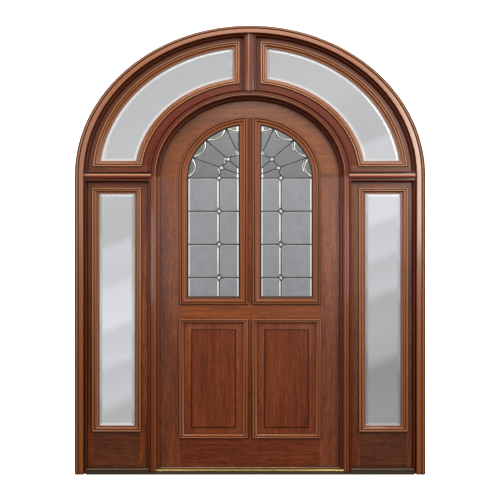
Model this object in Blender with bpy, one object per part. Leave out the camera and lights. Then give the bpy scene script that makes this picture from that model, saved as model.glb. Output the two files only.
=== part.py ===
"""Arched entry door unit in mahogany: an arched frame with two sidelights, a quarter-ring transom
light on each side of the crown, and a hinged leaf with two leaded lights over two raised panels.

Metres. X runs across the unit, Y runs into the building and Z is up. The origin is the middle of
the sill's underside, so the unit faces -Y.

Every arch is half an ellipse that rises from one spring line. Arched outlines are drawn in a plane
where those ellipses are circles, with heights counted from the spring line, and stand() brings
each point to its real place. Level runs of a moulding come out slimmer than upright ones by the
same ratio, so arcs and straight runs meet in true mitres.
"""

import math

import bmesh
import bpy
from mathutils import Matrix, Vector

MM = 0.001

# Arches
SPRING_HEIGHT = 1705 * MM
ARCH_RATIO = 0.858  # rise of an arch over its half width
ARCH_FACETS = 24  # straight facets in each half round
GAP = 0.3 * MM  # between pieces that touch

# Outer frame
CASING_HALF_WIDTH = 1002 * MM
CASING_WIDTH = 51 * MM
CASING_PROUD = 26 * MM  # casing face in front of the frame
JAMB_REVEAL = 15 * MM  # edge of the jamb that the casing leaves bare
JAMB_THICKNESS = 32 * MM
FRAME_DEPTH = 116 * MM
MULLION_WIDTH = 68 * MM  # crown mullion; a transom bar is slimmer, as all level runs are
BEAD_WIDTH = 8.5 * MM
BEAD_PROUD = 7 * MM
STRIP_WIDTH = 26 * MM  # raised strip along the middle of a mullion
STRIP_PROUD = 12 * MM

# Leaf, its clearance and its stop
LEAF_HALF_WIDTH = 533.5 * MM
LEAF_THICKNESS = 44.5 * MM
LEAF_BOTTOM = 31 * MM
LEAF_CLEARANCE = 3 * MM
STOP_LAP = 10 * MM  # how far the stop covers the edge of the leaf
STOP_THICKNESS = 33 * MM
MULL_WIDTH = 43.5 * MM
MULL_FILLET = 5 * MM
RIDGE_WIDTH = 9 * MM

# Leaf members
LEAF_STILE_WIDTH = 130.5 * MM
MUNTIN_WIDTH = 42 * MM
BOTTOM_RAIL_HEIGHT = 169 * MM
PANEL_OPENING_HEIGHT = 678.5 * MM
LOCK_RAIL_HEIGHT = 99 * MM
LIGHT_MOULD_WIDTH = 45.5 * MM
PANEL_MOULD_WIDTH = 28.5 * MM
PANEL_BEVEL = 47 * MM
PANEL_TONGUE = 12 * MM
PANEL_RISE = 5 * MM  # slope of the bevel
PANEL_SHOULDER = 2.5 * MM

# Sidelight and transom sashes
SASH_THICKNESS = 44.5 * MM
SASH_SETBACK = 26 * MM
SASH_CLEARANCE = 2 * MM
OUTER_STILE_WIDTH = 33 * MM
INNER_STILE_WIDTH = 51.5 * MM
SIDELIGHT_TOP_RAIL = 38.4 * MM
SIDELIGHT_BOTTOM_RAIL = 214 * MM
CROWN_STILE_WIDTH = 30.5 * MM
FOOT_RAIL_HEIGHT = 33.5 * MM
SASH_MOULD_WIDTH = 40 * MM
SASH_GLASS_DEPTH = 16 * MM  # glass behind the sash's face
SASH_GLASS_THICKNESS = 10 * MM

# Glazing mouldings
MOULD_LAP = 8 * MM  # over the face of the member
MOULD_PROUD = 10.5 * MM
MOULD_LIP = 5 * MM
MOULD_WEB = 6 * MM
EDGE_CLEARANCE = 0.8 * MM  # between a pane or panel and the bottom of its groove

# Leaded lights
CAME_WIDTH = 6 * MM
BORDER_CAME_WIDTH = 8.7 * MM
CAME_THICKNESS = 4.4 * MM
LEADED_GLASS_THICKNESS = 12 * MM
LEADED_DEPTH = 7.3 * MM  # front of the cames behind the leaf's face
UPRIGHT_CAME = 180 * MM  # from the middle of the leaf; also the radius of the fan's inner ring
LEVEL_CAME_PITCH = 193 * MM  # down from the spring line
DIAMOND_REACH = 23 * MM  # half of a diamond's diagonal
SCALLOP_DEPTH = 33 * MM
SCALLOP_FACETS = 4
FAN_STEP = math.radians(22.5)

# Sill and threshold
SILL_FRONT = 84 * MM  # in front of the frame's middle
SILL_HEIGHT = 12 * MM
SILL_NOSE_HEIGHT = 7 * MM
SILL_SLOPE_END = 50 * MM
RISER_HEIGHT = 30.7 * MM
RISER_FRONT = 66 * MM
RISER_BACK = 40 * MM
THRESHOLD_FRONT = 57.5 * MM
THRESHOLD_DECK = 22 * MM
NOSING_HEIGHT = 26 * MM
NOSING_DEPTH = 14 * MM
CAP_HEIGHT = 28 * MM
CAP_FRONT = 2 * MM
CAP_DEPTH = 38 * MM

# Hinges
HINGE_FROM_FOOT = 249 * MM  # middle of the lowest hinge above the foot of the leaf
HINGE_FROM_SPRING = 185 * MM  # middle of the highest hinge below the spring line
HINGE_LENGTH = 100 * MM
HINGE_WIDTH = 34 * MM
HINGE_THICKNESS = 2.5 * MM
BARREL_RADIUS = 6.5 * MM
PIN_RADIUS = 3 * MM
PIN_CLEARANCE = 0.5 * MM

# Places that follow from the sizes above
CASING_INNER = CASING_HALF_WIDTH - CASING_WIDTH
JAMB_INNER = CASING_INNER - JAMB_REVEAL
FRONT = -FRAME_DEPTH / 2
BACK = FRAME_DEPTH / 2
REBATE = LEAF_HALF_WIDTH + LEAF_CLEARANCE
STOP_INNER = LEAF_HALF_WIDTH - STOP_LAP
MULL_OUTER = REBATE + MULL_WIDTH
LEAF_FRONT = BACK - LEAF_THICKNESS
SASH_FRONT = FRONT + SASH_SETBACK
SASH_BACK = SASH_FRONT + SASH_THICKNESS
HALF_MULLION = MULLION_WIDTH / 2
HALF_BAR = HALF_MULLION * ARCH_RATIO
HINGE_X = -(LEAF_HALF_WIDTH + LEAF_CLEARANCE / 2)
HINGE_Y = BACK + BARREL_RADIUS + GAP + 0.2 * MM
LOW_HINGE, HIGH_HINGE = LEAF_BOTTOM + HINGE_FROM_FOOT, SPRING_HEIGHT - HINGE_FROM_SPRING
HINGE_HEIGHTS = (LOW_HINGE, (LOW_HINGE + HIGH_HINGE) / 2, HIGH_HINGE)

MAHOGANY = ("mahogany", (0.20, 0.055, 0.022), 0.32, 0.0)
GLASS = ("clear_glass", (0.78, 0.82, 0.84), 0.05, 0.0)
LEAD = ("lead_came", (0.06, 0.06, 0.065), 0.45, 0.9)
BRASS = ("brass", (0.62, 0.45, 0.18), 0.3, 1.0)
SILL_METAL = ("dark_sill", (0.03, 0.028, 0.025), 0.5, 0.6)
SIDES = ((-1, "left"), (1, "right"))


# Drawing plane

def up(height):
    return (height - SPRING_HEIGHT) / ARCH_RATIO


def stand(point, y):
    return Vector((point[0], y, SPRING_HEIGHT + ARCH_RATIO * point[1]))


def facet_points(radius):
    """Corners of the faceted quarter circle, from the spring line up to the crown."""
    step = math.pi / ARCH_FACETS
    angles = [step * i for i in range(ARCH_FACETS // 2 + 1)]
    return [(radius * math.cos(a), radius * math.sin(a)) for a in angles]


def half_round(radius):
    """Corners of the faceted half circle from right to left."""
    quarter = facet_points(radius)
    return quarter + [(-u, w) for u, w in reversed(quarter[:-1])]


def crossing(radius, value, axis):
    """Where the faceted quarter circle crosses an upright (axis 0) or level (axis 1) line."""
    corners = facet_points(radius)
    for (first, second) in zip(corners, corners[1:]):
        low, high = sorted((first[axis], second[axis]))
        if low <= value <= high:
            share = (value - first[axis]) / (second[axis] - first[axis])
            return tuple(a + share * (b - a) for a, b in zip(first, second))
    return None


def arc_between(radius, start, end):
    """The faceted arc from one crossing to another, ends included."""
    angle = [math.atan2(p[1], p[0]) for p in (start, end)]
    low, high = sorted(angle)
    clear = math.radians(0.5)
    inner = [p for p in facet_points(radius) if low + clear < math.atan2(p[1], p[0]) < high - clear]
    if angle[0] > angle[1]:
        inner.reverse()
    return [start] + inner + [end]


def box_outline(left, right, bottom, top):
    return [(left, bottom), (right, bottom), (right, top), (left, top)]


def arched_outline(radius, near, bottom):
    """A light with one upright side near the middle, a quarter-round head and a level foot."""
    spring, top = (radius, 0.0), crossing(radius, near, 0)
    return [(near, bottom), (radius, bottom)] + arc_between(radius, spring, top)


def ring_outline(outer, inner, crown, foot):
    """A quarter ring cut by an upright line near the crown and a level line near the spring."""
    outer_arc = arc_between(outer, crossing(outer, foot, 1), crossing(outer, crown, 0))
    inner_arc = arc_between(inner, crossing(inner, crown, 0), crossing(inner, foot, 1))
    return outer_arc + inner_arc


def mirrored(outline, side):
    """The outline on the given side of the middle, still counterclockwise."""
    return outline if side > 0 else [(-u, w) for u, w in reversed(outline)]


def mitres(outline):
    """For each corner of a closed outline, the inward step that moves both its edges by one."""
    result = []
    for i, here in enumerate(outline):
        before, after = outline[i - 1], outline[(i + 1) % len(outline)]
        normals = []
        for a, b in ((before, here), (here, after)):
            run = math.hypot(b[0] - a[0], b[1] - a[1])
            normals.append((-(b[1] - a[1]) / run, (b[0] - a[0]) / run))
        (nx, ny), (mx, my) = normals
        spread = 1 + nx * mx + ny * my
        result.append(((nx + mx) / spread, (ny + my) / spread))
    return result


def inset(outline, distance):
    return [(p[0] + m[0] * distance, p[1] + m[1] * distance) for p, m in zip(outline, mitres(outline))]


# Solids

def loft(rings, closed=False):
    """A solid through rings of points, with its ends filled unless the rings close on themselves."""
    bm = bmesh.new()
    loops = [[bm.verts.new(point) for point in ring] for ring in rings]
    pairs = list(zip(loops, loops[1:]))
    if closed:
        pairs.append((loops[-1], loops[0]))
    for a, b in pairs:
        for i in range(len(a)):
            j = (i + 1) % len(a)
            bm.faces.new((a[i], a[j], b[j], b[i]))
    if not closed:
        bm.faces.new(loops[0])
        bm.faces.new(loops[-1])
    bmesh.ops.recalc_face_normals(bm, faces=bm.faces)
    return bm


def prism(outline, front, back):
    """A flat outline given thickness from front to back."""
    return loft([[stand(p, y) for p in outline] for y in (front, back)])


def plank(left, right, bottom, top, front, back):
    return prism(box_outline(left, right, up(bottom), up(top)), front, back)


def rail_along_x(section, left, right):
    """A (y, z) section run from left to right."""
    return loft([[Vector((x, y, z)) for y, z in section] for x in (left, right)])


def post(section, bottom, top):
    """An (x, y) section run upright."""
    return loft([[Vector((x, y, z)) for x, y in section] for z in (bottom, top)])


def ring_moulding(outline, section):
    """A section swept round a closed outline. Its first values count inward from the outline."""
    steps = list(zip(outline, mitres(outline)))
    rings = [[stand((p[0] + m[0] * d, p[1] + m[1] * d), y) for d, y in section] for p, m in steps]
    return loft(rings, closed=True)


def arch_moulding(radius, section, outward, foot=None):
    """A section swept round a half circle, and down to a foot if one is given."""
    sign = 1 if outward else -1
    corners = half_round(radius)
    steps = [(p, (sign * p[0] / radius, sign * p[1] / radius)) for p in corners]
    if foot is not None:
        right, left = (radius, up(foot)), (-radius, up(foot))
        steps = [(right, (sign, 0))] + steps + [(left, (-sign, 0))]
    return loft([[stand((p[0] + n[0] * d, p[1] + n[1] * d), y) for d, y in section] for p, n in steps])


def cylinder(x, y, radius, bottom, top, sides):
    circle = [2 * math.pi * i / sides for i in range(sides)]
    return post([(x + radius * math.cos(a), y + radius * math.sin(a)) for a in circle], bottom, top)


# Objects

def paint(obj, look):
    kind, colour, roughness, metallic = look
    material = bpy.data.materials.new(f"{obj.name}_{kind}")
    material.use_nodes = True
    shader = material.node_tree.nodes["Principled BSDF"]
    shader.inputs["Base Color"].default_value = (*colour, 1)
    shader.inputs["Roughness"].default_value = roughness
    shader.inputs["Metallic"].default_value = metallic
    if kind == "clear_glass":
        shader.inputs["Transmission Weight"].default_value = 1.0
    obj.data.materials.append(material)


def empty(name, location, parent=None):
    holder = bpy.data.objects.new(name, None)
    holder.location = location
    holder.parent = parent
    bpy.context.scene.collection.objects.link(holder)
    return holder


def add(name, bm, look, parent):
    """An object for one piece, with its own origin at the middle of its foot."""
    corners = [v.co for v in bm.verts]
    low = Vector([min(c[i] for c in corners) for i in range(3)])
    high = Vector([max(c[i] for c in corners) for i in range(3)])
    origin = Vector(((low.x + high.x) / 2, (low.y + high.y) / 2, low.z))
    bmesh.ops.transform(bm, matrix=Matrix.Translation(-origin), verts=bm.verts)
    mesh = bpy.data.meshes.new(name)
    bm.to_mesh(mesh)
    bm.free()
    mesh.shade_smooth()
    mesh.set_sharp_from_angle(angle=math.radians(35))
    obj = bpy.data.objects.new(name, mesh)
    obj.parent = parent
    obj.location = origin - parent.location
    bpy.context.scene.collection.objects.link(obj)
    if look:
        paint(obj, look)
    return obj


def combine(obj, operation, bm, name):
    """Joins or cuts an object with a helper shape that isn't a piece of its own."""
    helper = add(name, bm, None, obj.parent)
    helper.hide_render = True
    helper.display_type = "WIRE"
    modifier = obj.modifiers.new(name, "BOOLEAN")
    modifier.operation = operation
    modifier.object = helper


# Sections

def casing_section():
    """Distance in from the outer edge, and y: a sloping back band, a bead, a flat face and a cove."""
    face, back = FRONT - CASING_PROUD, FRONT - GAP
    w = CASING_WIDTH
    return [
        (0, back), (0, face + 12 * MM), (10 * MM, face + 4.5 * MM), (12 * MM, face - 3 * MM),
        (15.5 * MM, face - 4 * MM), (19 * MM, face - 3 * MM), (21 * MM, face + 4 * MM), (24 * MM, face),
        (w - 3 * MM, face), (w, face + 4 * MM), (w, back),
    ]


def jamb_section():
    """Distance out from the inner face, and y. The staff bead stands on the bare edge."""
    b, w, crown = BEAD_WIDTH, JAMB_THICKNESS, FRONT - BEAD_PROUD
    return [
        (0, BACK), (0, FRONT), (0.2 * b, crown + 1.5 * MM), (0.4 * b, crown), (0.7 * b, crown),
        (b, FRONT - 1 * MM), (b + 2 * MM, FRONT), (w, FRONT), (w, BACK),
    ]


def mull_section():
    """Distance out from the stop's face, and y: stop, rebate, ridge bead, flat and outer bead."""
    rebate, outer = REBATE - STOP_INNER, MULL_OUTER - STOP_INNER
    stop_back = LEAF_FRONT - GAP
    stop_front = stop_back - STOP_THICKNESS
    ridge, bead = rebate + MULL_FILLET, outer - BEAD_WIDTH
    crown = FRONT - BEAD_PROUD
    return [
        (0, stop_back), (0, stop_front + 2 * MM), (2 * MM, stop_front), (rebate, stop_front),
        (rebate, FRONT + 2 * MM), (ridge, FRONT), (ridge + 0.2 * RIDGE_WIDTH, crown),
        (ridge + 0.8 * RIDGE_WIDTH, crown), (ridge + RIDGE_WIDTH, FRONT), (bead - 1 * MM, FRONT),
        (bead + 0.2 * BEAD_WIDTH, crown), (bead + 0.75 * BEAD_WIDTH, crown), (outer, FRONT - 2 * MM),
        (outer, BACK), (rebate, BACK), (rebate, stop_back),
    ]


def mullion_section():
    """Distance from the middle line, and y: a bead at each edge and a raised strip between."""
    half, crown, strip = HALF_MULLION, FRONT - BEAD_PROUD, STRIP_WIDTH / 2
    side = [
        (half, BACK), (half, FRONT - 2 * MM), (half - 0.25 * BEAD_WIDTH, crown),
        (half - 0.8 * BEAD_WIDTH, crown), (half - BEAD_WIDTH, FRONT), (strip + 1 * MM, FRONT),
        (strip, FRONT - STRIP_PROUD),
    ]
    return side + [(-d, y) for d, y in reversed(side)]


def glazing_section(front, back, groove_front, groove_back, width):
    """Distance in from the member's edge, and y: a moulding proud of both faces, with a groove."""
    sight = width - MOULD_LAP
    crown = front - MOULD_PROUD
    return [
        (GAP, front - GAP), (-MOULD_LAP, front - GAP), (-MOULD_LAP, crown + 2.5 * MM),
        (-MOULD_LAP + 3 * MM, crown), (-MOULD_LAP + 9 * MM, crown),
        (-MOULD_LAP + 12 * MM, crown + 5.5 * MM), (-MOULD_LAP + 24 * MM, crown + 8 * MM),
        (sight, groove_front - MOULD_LIP), (sight, groove_front), (MOULD_WEB, groove_front),
        (MOULD_WEB, groove_back), (sight, groove_back), (sight, groove_back + MOULD_LIP),
        (MOULD_LAP, back + 0.6 * MOULD_PROUD), (-MOULD_LAP, back + 0.6 * MOULD_PROUD),
        (-MOULD_LAP, back + GAP), (GAP, back + GAP),
    ]


def panel_mould_section(groove_front, groove_back):
    """As a glazing moulding, but narrow: a bead, a quirk and a hollow down to the panel."""
    sight = PANEL_MOULD_WIDTH - MOULD_LAP
    front, back = LEAF_FRONT, BACK
    crown = front - MOULD_PROUD
    return [
        (GAP, front - GAP), (-MOULD_LAP, front - GAP), (-MOULD_LAP, crown + 2.5 * MM),
        (-MOULD_LAP + 3 * MM, crown), (-MOULD_LAP + 8 * MM, crown),
        (-MOULD_LAP + 11 * MM, crown + 7.5 * MM), (-MOULD_LAP + 19 * MM, crown + 8 * MM),
        (sight, groove_front - MOULD_LIP), (sight, groove_front), (MOULD_WEB, groove_front),
        (MOULD_WEB, groove_back), (sight, groove_back), (sight, groove_back + MOULD_LIP),
        (MOULD_LAP / 2, back + 0.6 * MOULD_PROUD), (-MOULD_LAP, back + 0.6 * MOULD_PROUD),
        (-MOULD_LAP, back + GAP), (GAP, back + GAP),
    ]


# Frame

def build_casing(frame):
    add("casing", arch_moulding(CASING_HALF_WIDTH, casing_section(), False, 0), MAHOGANY, frame)


def build_jambs(frame):
    add("arch_jamb", arch_moulding(JAMB_INNER, jamb_section(), True), MAHOGANY, frame)
    for side, word in SIDES:
        section = [(side * (JAMB_INNER + d), y) for d, y in jamb_section()]
        add(f"{word}_jamb", post(section, 0, SPRING_HEIGHT - GAP), MAHOGANY, frame)


def build_mulls(frame):
    add("inner_arch_head", arch_moulding(STOP_INNER, mull_section(), True), MAHOGANY, frame)
    for side, word in SIDES:
        section = [(side * (STOP_INNER + d), y) for d, y in mull_section()]
        solid = post(section, SILL_HEIGHT + GAP, SPRING_HEIGHT - GAP)
        mull = add(f"{word}_mull_post", solid, MAHOGANY, frame)
        notch_top = CAP_HEIGHT + GAP
        reach = STOP_INNER - GAP
        notch = plank(*sorted((side * reach, side * (REBATE - GAP))), 0, notch_top, FRONT + 3 * MM, BACK)
        combine(mull, "DIFFERENCE", notch, f"{word}_stop_notch")
        if side < 0:
            inner = -REBATE + HINGE_THICKNESS
            cut = hinge_recess(-REBATE - HINGE_THICKNESS, inner)
            combine(mull, "DIFFERENCE", cut, "mull_hinge_recess")


def build_mullions(frame):
    """Transom bars and crown mullion, cut to the faces of the two arches between which they stand."""
    inner, outer = MULL_OUTER + GAP, JAMB_INNER - GAP
    low, wide = up(SPRING_HEIGHT - MULLION_WIDTH), CASING_HALF_WIDTH
    inside = [(-inner, low), (inner, low)] + half_round(inner)
    outside = [(outer, low), (wide, low), (wide, wide), (-wide, wide), (-wide, low), (-outer, low)]
    outside += list(reversed(half_round(outer)))
    section = [(y, SPRING_HEIGHT + ARCH_RATIO * d) for d, y in mullion_section()]
    solids = {}
    for side, word in SIDES:
        ends = sorted((side * STOP_INNER, side * CASING_INNER))
        solids[f"{word}_transom_bar"] = rail_along_x(section, *ends)
    foot, head = stand((0, STOP_INNER), 0).z, stand((0, CASING_INNER), 0).z
    solids["crown_mullion"] = post(mullion_section(), foot, head)
    for name, solid in solids.items():
        mullion = add(name, solid, MAHOGANY, frame)
        for word, outline in (("inner", inside), ("outer", outside)):
            cutter = prism(outline, FRONT - 2 * STRIP_PROUD, BACK + STRIP_PROUD)
            combine(mullion, "DIFFERENCE", cutter, f"{name}_{word}_end")


def build_sill(frame):
    reach = JAMB_INNER - GAP
    section = [
        (-SILL_FRONT, 0), (-SILL_FRONT, SILL_NOSE_HEIGHT), (-SILL_SLOPE_END, SILL_HEIGHT),
        (BACK, SILL_HEIGHT), (BACK, 0),
    ]
    sill = add("sill", rail_along_x(section, -reach, reach), SILL_METAL, frame)
    for side, word in SIDES:
        ends = sorted((side * (MULL_OUTER + GAP), side * reach))
        root = SILL_HEIGHT / 2
        riser = plank(*ends, root, RISER_HEIGHT, -RISER_FRONT, RISER_BACK)
        combine(sill, "UNION", riser, f"{word}_sill_riser")


def build_threshold(frame):
    bottom, wide, narrow = SILL_HEIGHT + GAP, REBATE - GAP, STOP_INNER - 2 * GAP
    front = -THRESHOLD_FRONT
    nosing = [
        (front, bottom), (front - 1.5 * MM, NOSING_HEIGHT - 8 * MM), (front, NOSING_HEIGHT - 2 * MM),
        (front + 3 * MM, NOSING_HEIGHT), (front + NOSING_DEPTH - 3 * MM, NOSING_HEIGHT),
        (front + NOSING_DEPTH, NOSING_HEIGHT - 3 * MM), (front + NOSING_DEPTH, bottom),
    ]
    threshold = add("threshold", rail_along_x(nosing, -wide, wide), BRASS, frame)
    deck_front = front + NOSING_DEPTH / 2
    deck = plank(-wide, wide, bottom, THRESHOLD_DECK, deck_front, BACK - GAP)
    combine(threshold, "UNION", deck, "threshold_deck")
    cap = [
        (CAP_FRONT, THRESHOLD_DECK + GAP), (CAP_FRONT, CAP_HEIGHT - 2 * MM),
        (CAP_FRONT + 2 * MM, CAP_HEIGHT), (CAP_FRONT + CAP_DEPTH, CAP_HEIGHT),
        (CAP_FRONT + CAP_DEPTH, THRESHOLD_DECK + GAP),
    ]
    add("threshold_cap", rail_along_x(cap, -narrow, narrow), MAHOGANY, frame)


# Sashes

def sash_glass_faces():
    front = SASH_FRONT + SASH_GLASS_DEPTH
    return front, front + SASH_GLASS_THICKNESS


def glaze(word, opening, frame):
    """The moulding round a sash opening and the pane in its groove."""
    front, back = sash_glass_faces()
    section = glazing_section(SASH_FRONT, SASH_BACK, front - GAP, back + GAP, SASH_MOULD_WIDTH)
    add(f"{word}_moulding", ring_moulding(opening, section), MAHOGANY, frame)
    pane = inset(opening, MOULD_WEB + EDGE_CLEARANCE)
    add(f"{word}_glass", prism(pane, front, back), GLASS, frame)


def build_sidelights(frame):
    near, far = MULL_OUTER + SASH_CLEARANCE, JAMB_INNER - SASH_CLEARANCE
    bottom = RISER_HEIGHT + GAP
    top = SPRING_HEIGHT - HALF_BAR - SASH_CLEARANCE
    left, right = near + INNER_STILE_WIDTH, far - OUTER_STILE_WIDTH
    foot, head = bottom + SIDELIGHT_BOTTOM_RAIL, top - SIDELIGHT_TOP_RAIL
    members = {
        "inner_stile": (near, left - GAP, bottom, top),
        "outer_stile": (right + GAP, far, bottom, top),
        "bottom_rail": (left, right, bottom, foot),
        "top_rail": (left, right, head, top),
    }
    for side, word in SIDES:
        for piece, (x0, x1, z0, z1) in members.items():
            outline = mirrored(box_outline(x0, x1, up(z0), up(z1)), side)
            name = f"{word}_sidelight_{piece}"
            add(name, prism(outline, SASH_FRONT, SASH_BACK), MAHOGANY, frame)
        opening = mirrored(box_outline(left, right, up(foot), up(head)), side)
        glaze(f"{word}_sidelight", opening, frame)


def build_transoms(frame):
    outer, inner = JAMB_INNER - SASH_CLEARANCE, MULL_OUTER + SASH_CLEARANCE
    rail_in, rail_out = outer - OUTER_STILE_WIDTH, inner + INNER_STILE_WIDTH
    crown = HALF_MULLION + SASH_CLEARANCE
    stile = crown + CROWN_STILE_WIDTH
    foot = (HALF_BAR + SASH_CLEARANCE) / ARCH_RATIO
    rail = foot + FOOT_RAIL_HEIGHT / ARCH_RATIO
    members = {
        "crown_stile": [crossing(inner, crown, 0), crossing(inner, stile - GAP, 0),
                        crossing(outer, stile - GAP, 0), crossing(outer, crown, 0)],
        "foot_rail": [crossing(inner, foot, 1), crossing(outer, foot, 1),
                      crossing(outer, rail - GAP, 1), crossing(inner, rail - GAP, 1)],
        "outer_rail": ring_outline(outer, rail_in, stile, rail),
        "inner_rail": ring_outline(rail_out, inner, stile, rail),
    }
    for side, word in SIDES:
        for piece, outline in members.items():
            solid = prism(mirrored(outline, side), SASH_FRONT, SASH_BACK)
            add(f"{word}_transom_{piece}", solid, MAHOGANY, frame)
        opening = ring_outline(rail_in, rail_out, stile, rail)
        glaze(f"{word}_transom", mirrored(opening, side), frame)


# Leaf

def leaf_levels():
    """Heights of the leaf's openings: panel foot and head, then foot of the lights."""
    panel_foot = LEAF_BOTTOM + BOTTOM_RAIL_HEIGHT
    panel_head = panel_foot + PANEL_OPENING_HEIGHT
    return panel_foot, panel_head, panel_head + LOCK_RAIL_HEIGHT


def build_leaf_members(leaf):
    edge = LEAF_HALF_WIDTH - LEAF_STILE_WIDTH
    half = MUNTIN_WIDTH / 2
    panel_foot, panel_head, light_foot = leaf_levels()
    for side, word in SIDES:
        ends = sorted((side * (edge + GAP), side * LEAF_HALF_WIDTH))
        solid = plank(*ends, LEAF_BOTTOM, SPRING_HEIGHT - GAP, LEAF_FRONT, BACK)
        stile = add(f"leaf_{word}_stile", solid, MAHOGANY, leaf)
        if side < 0:
            outer, inner = -LEAF_HALF_WIDTH - HINGE_THICKNESS, -LEAF_HALF_WIDTH + HINGE_THICKNESS
            combine(stile, "DIFFERENCE", hinge_recess(outer, inner), "leaf_hinge_recess")
    arch = half_round(LEAF_HALF_WIDTH) + list(reversed(half_round(edge)))
    add("leaf_arch_rail", prism(arch, LEAF_FRONT, BACK), MAHOGANY, leaf)
    rails = {"bottom_rail": (LEAF_BOTTOM, panel_foot), "lock_rail": (panel_head, light_foot)}
    for word, (bottom, top) in rails.items():
        solid = plank(-edge, edge, bottom, top, LEAF_FRONT, BACK)
        add(f"leaf_{word}", solid, MAHOGANY, leaf)
    lower = plank(-half, half, panel_foot + GAP, panel_head - GAP, LEAF_FRONT, BACK)
    add("leaf_lower_muntin", lower, MAHOGANY, leaf)
    shoulder = crossing(edge, half, 0)[1] - GAP
    head = [(half, shoulder), (0, edge - GAP), (-half, shoulder)]
    foot = up(light_foot + GAP)
    upper = prism([(-half, foot), (half, foot)] + head, LEAF_FRONT, BACK)
    add("leaf_upper_muntin", upper, MAHOGANY, leaf)


def build_panels(leaf):
    edge, half = LEAF_HALF_WIDTH - LEAF_STILE_WIDTH, MUNTIN_WIDTH / 2
    foot, head, _ = leaf_levels()
    middle = (LEAF_FRONT + BACK) / 2 - 5 * MM
    tongue_front, tongue_back = middle - PANEL_TONGUE / 2, middle + PANEL_TONGUE / 2
    section = panel_mould_section(tongue_front - GAP, tongue_back + GAP)
    sight = PANEL_MOULD_WIDTH - MOULD_LAP
    field = sight + PANEL_BEVEL
    rise, face = PANEL_RISE, PANEL_RISE + PANEL_SHOULDER
    layers = [
        (field, tongue_front - face), (field, tongue_front - rise), (sight, tongue_front),
        (MOULD_WEB + EDGE_CLEARANCE, tongue_front), (MOULD_WEB + EDGE_CLEARANCE, tongue_back),
        (sight, tongue_back), (field, tongue_back + rise), (field, tongue_back + face),
    ]
    for side, word in SIDES:
        opening = mirrored(box_outline(half, edge, up(foot), up(head)), side)
        add(f"{word}_panel_moulding", ring_moulding(opening, section), MAHOGANY, leaf)
        panel = loft([[stand(p, y) for p in inset(opening, d)] for d, y in layers])
        add(f"{word}_raised_panel", panel, MAHOGANY, leaf)


def polar(radius, angle):
    return (radius * math.cos(angle), radius * math.sin(angle))


def scallop(radius, angle):
    """The arc that dips inward between two outer nodes of the fan, ends included."""
    (ax, ay), (bx, by) = polar(radius, angle), polar(radius, angle + FAN_STEP)
    inward = angle + FAN_STEP / 2
    points = []
    for i in range(SCALLOP_FACETS + 1):
        share = i / SCALLOP_FACETS
        dip = SCALLOP_DEPTH * 4 * share * (1 - share)
        x = ax + share * (bx - ax) - dip * math.cos(inward)
        y = ay + share * (by - ay) - dip * math.sin(inward)
        points.append((x, y))
    return points


def clipped(outline, near):
    """The outline without what lies nearer to the middle than an upright line."""
    result = []
    for here, after in zip(outline, outline[1:] + outline[:1]):
        if here[0] >= near:
            result.append(here)
        if (here[0] - near) * (after[0] - near) < 0:
            share = (near - here[0]) / (after[0] - here[0])
            result.append((near, here[1] + share * (after[1] - here[1])))
    return result


def diamond(centre, angle):
    ends = [polar(DIAMOND_REACH, angle + i * math.pi / 2) for i in range(4)]
    return [(centre[0] + x, centre[1] + y) for x, y in ends]


def level_panes(near, far, foot):
    """The panes below the fan, with a corner cut at each diamond."""
    pitch = LEVEL_CAME_PITCH / ARCH_RATIO
    rows = max(1, round(-foot / pitch))
    levels = [-i * pitch for i in range(rows)] + [foot]
    panes = []
    for i, (top, bottom) in enumerate(zip(levels, levels[1:])):
        last = i == rows - 1
        x, d = UPRIGHT_CAME, DIAMOND_REACH
        lower_left = [(x, bottom)] if last else [(x - d, bottom), (x, bottom + d)]
        lower_right = [(x, bottom)] if last else [(x, bottom + d), (x + d, bottom)]
        panes.append([(near, bottom)] + lower_left + [(x, top - d), (x - d, top), (near, top)])
        panes.append(lower_right + [(far, bottom), (far, top), (x + d, top), (x, top - d)])
        panes.append(diamond((x, top), 0))
    return panes


def fan_panes(near, far):
    """Scallops, outer petals, ring diamonds and inner petals above the spring line."""
    panes = []
    ring, reach = UPRIGHT_CAME, DIAMOND_REACH
    for k in range(4):
        low, high = k * FAN_STEP, (k + 1) * FAN_STEP
        dip = scallop(far, low)
        arc = arc_between(far, crossing(far, far * math.sin(low), 1), crossing(far, far * math.cos(high), 0))
        panes.append(clipped(arc + dip[-2:0:-1], near))
        tips = [polar(ring, low), polar(ring, high)]
        inner_low = (tips[0][0] - reach * math.sin(low), tips[0][1] + reach * math.cos(low))
        inner_high = (tips[1][0] + reach * math.sin(high), tips[1][1] - reach * math.cos(high))
        petal = [inner_low, polar(ring + reach, low)] + dip + [polar(ring + reach, high), inner_high]
        panes.append(clipped(petal, near))
        if k < 3:
            core = [polar(near / 4, low), polar(ring - reach, low), inner_low, inner_high]
            core += [polar(ring - reach, high), polar(near / 4, high)]
            panes.append(clipped(core, near))
        if 0 < k < 3:
            panes.append(diamond(tips[0], low))
    return panes


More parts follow.
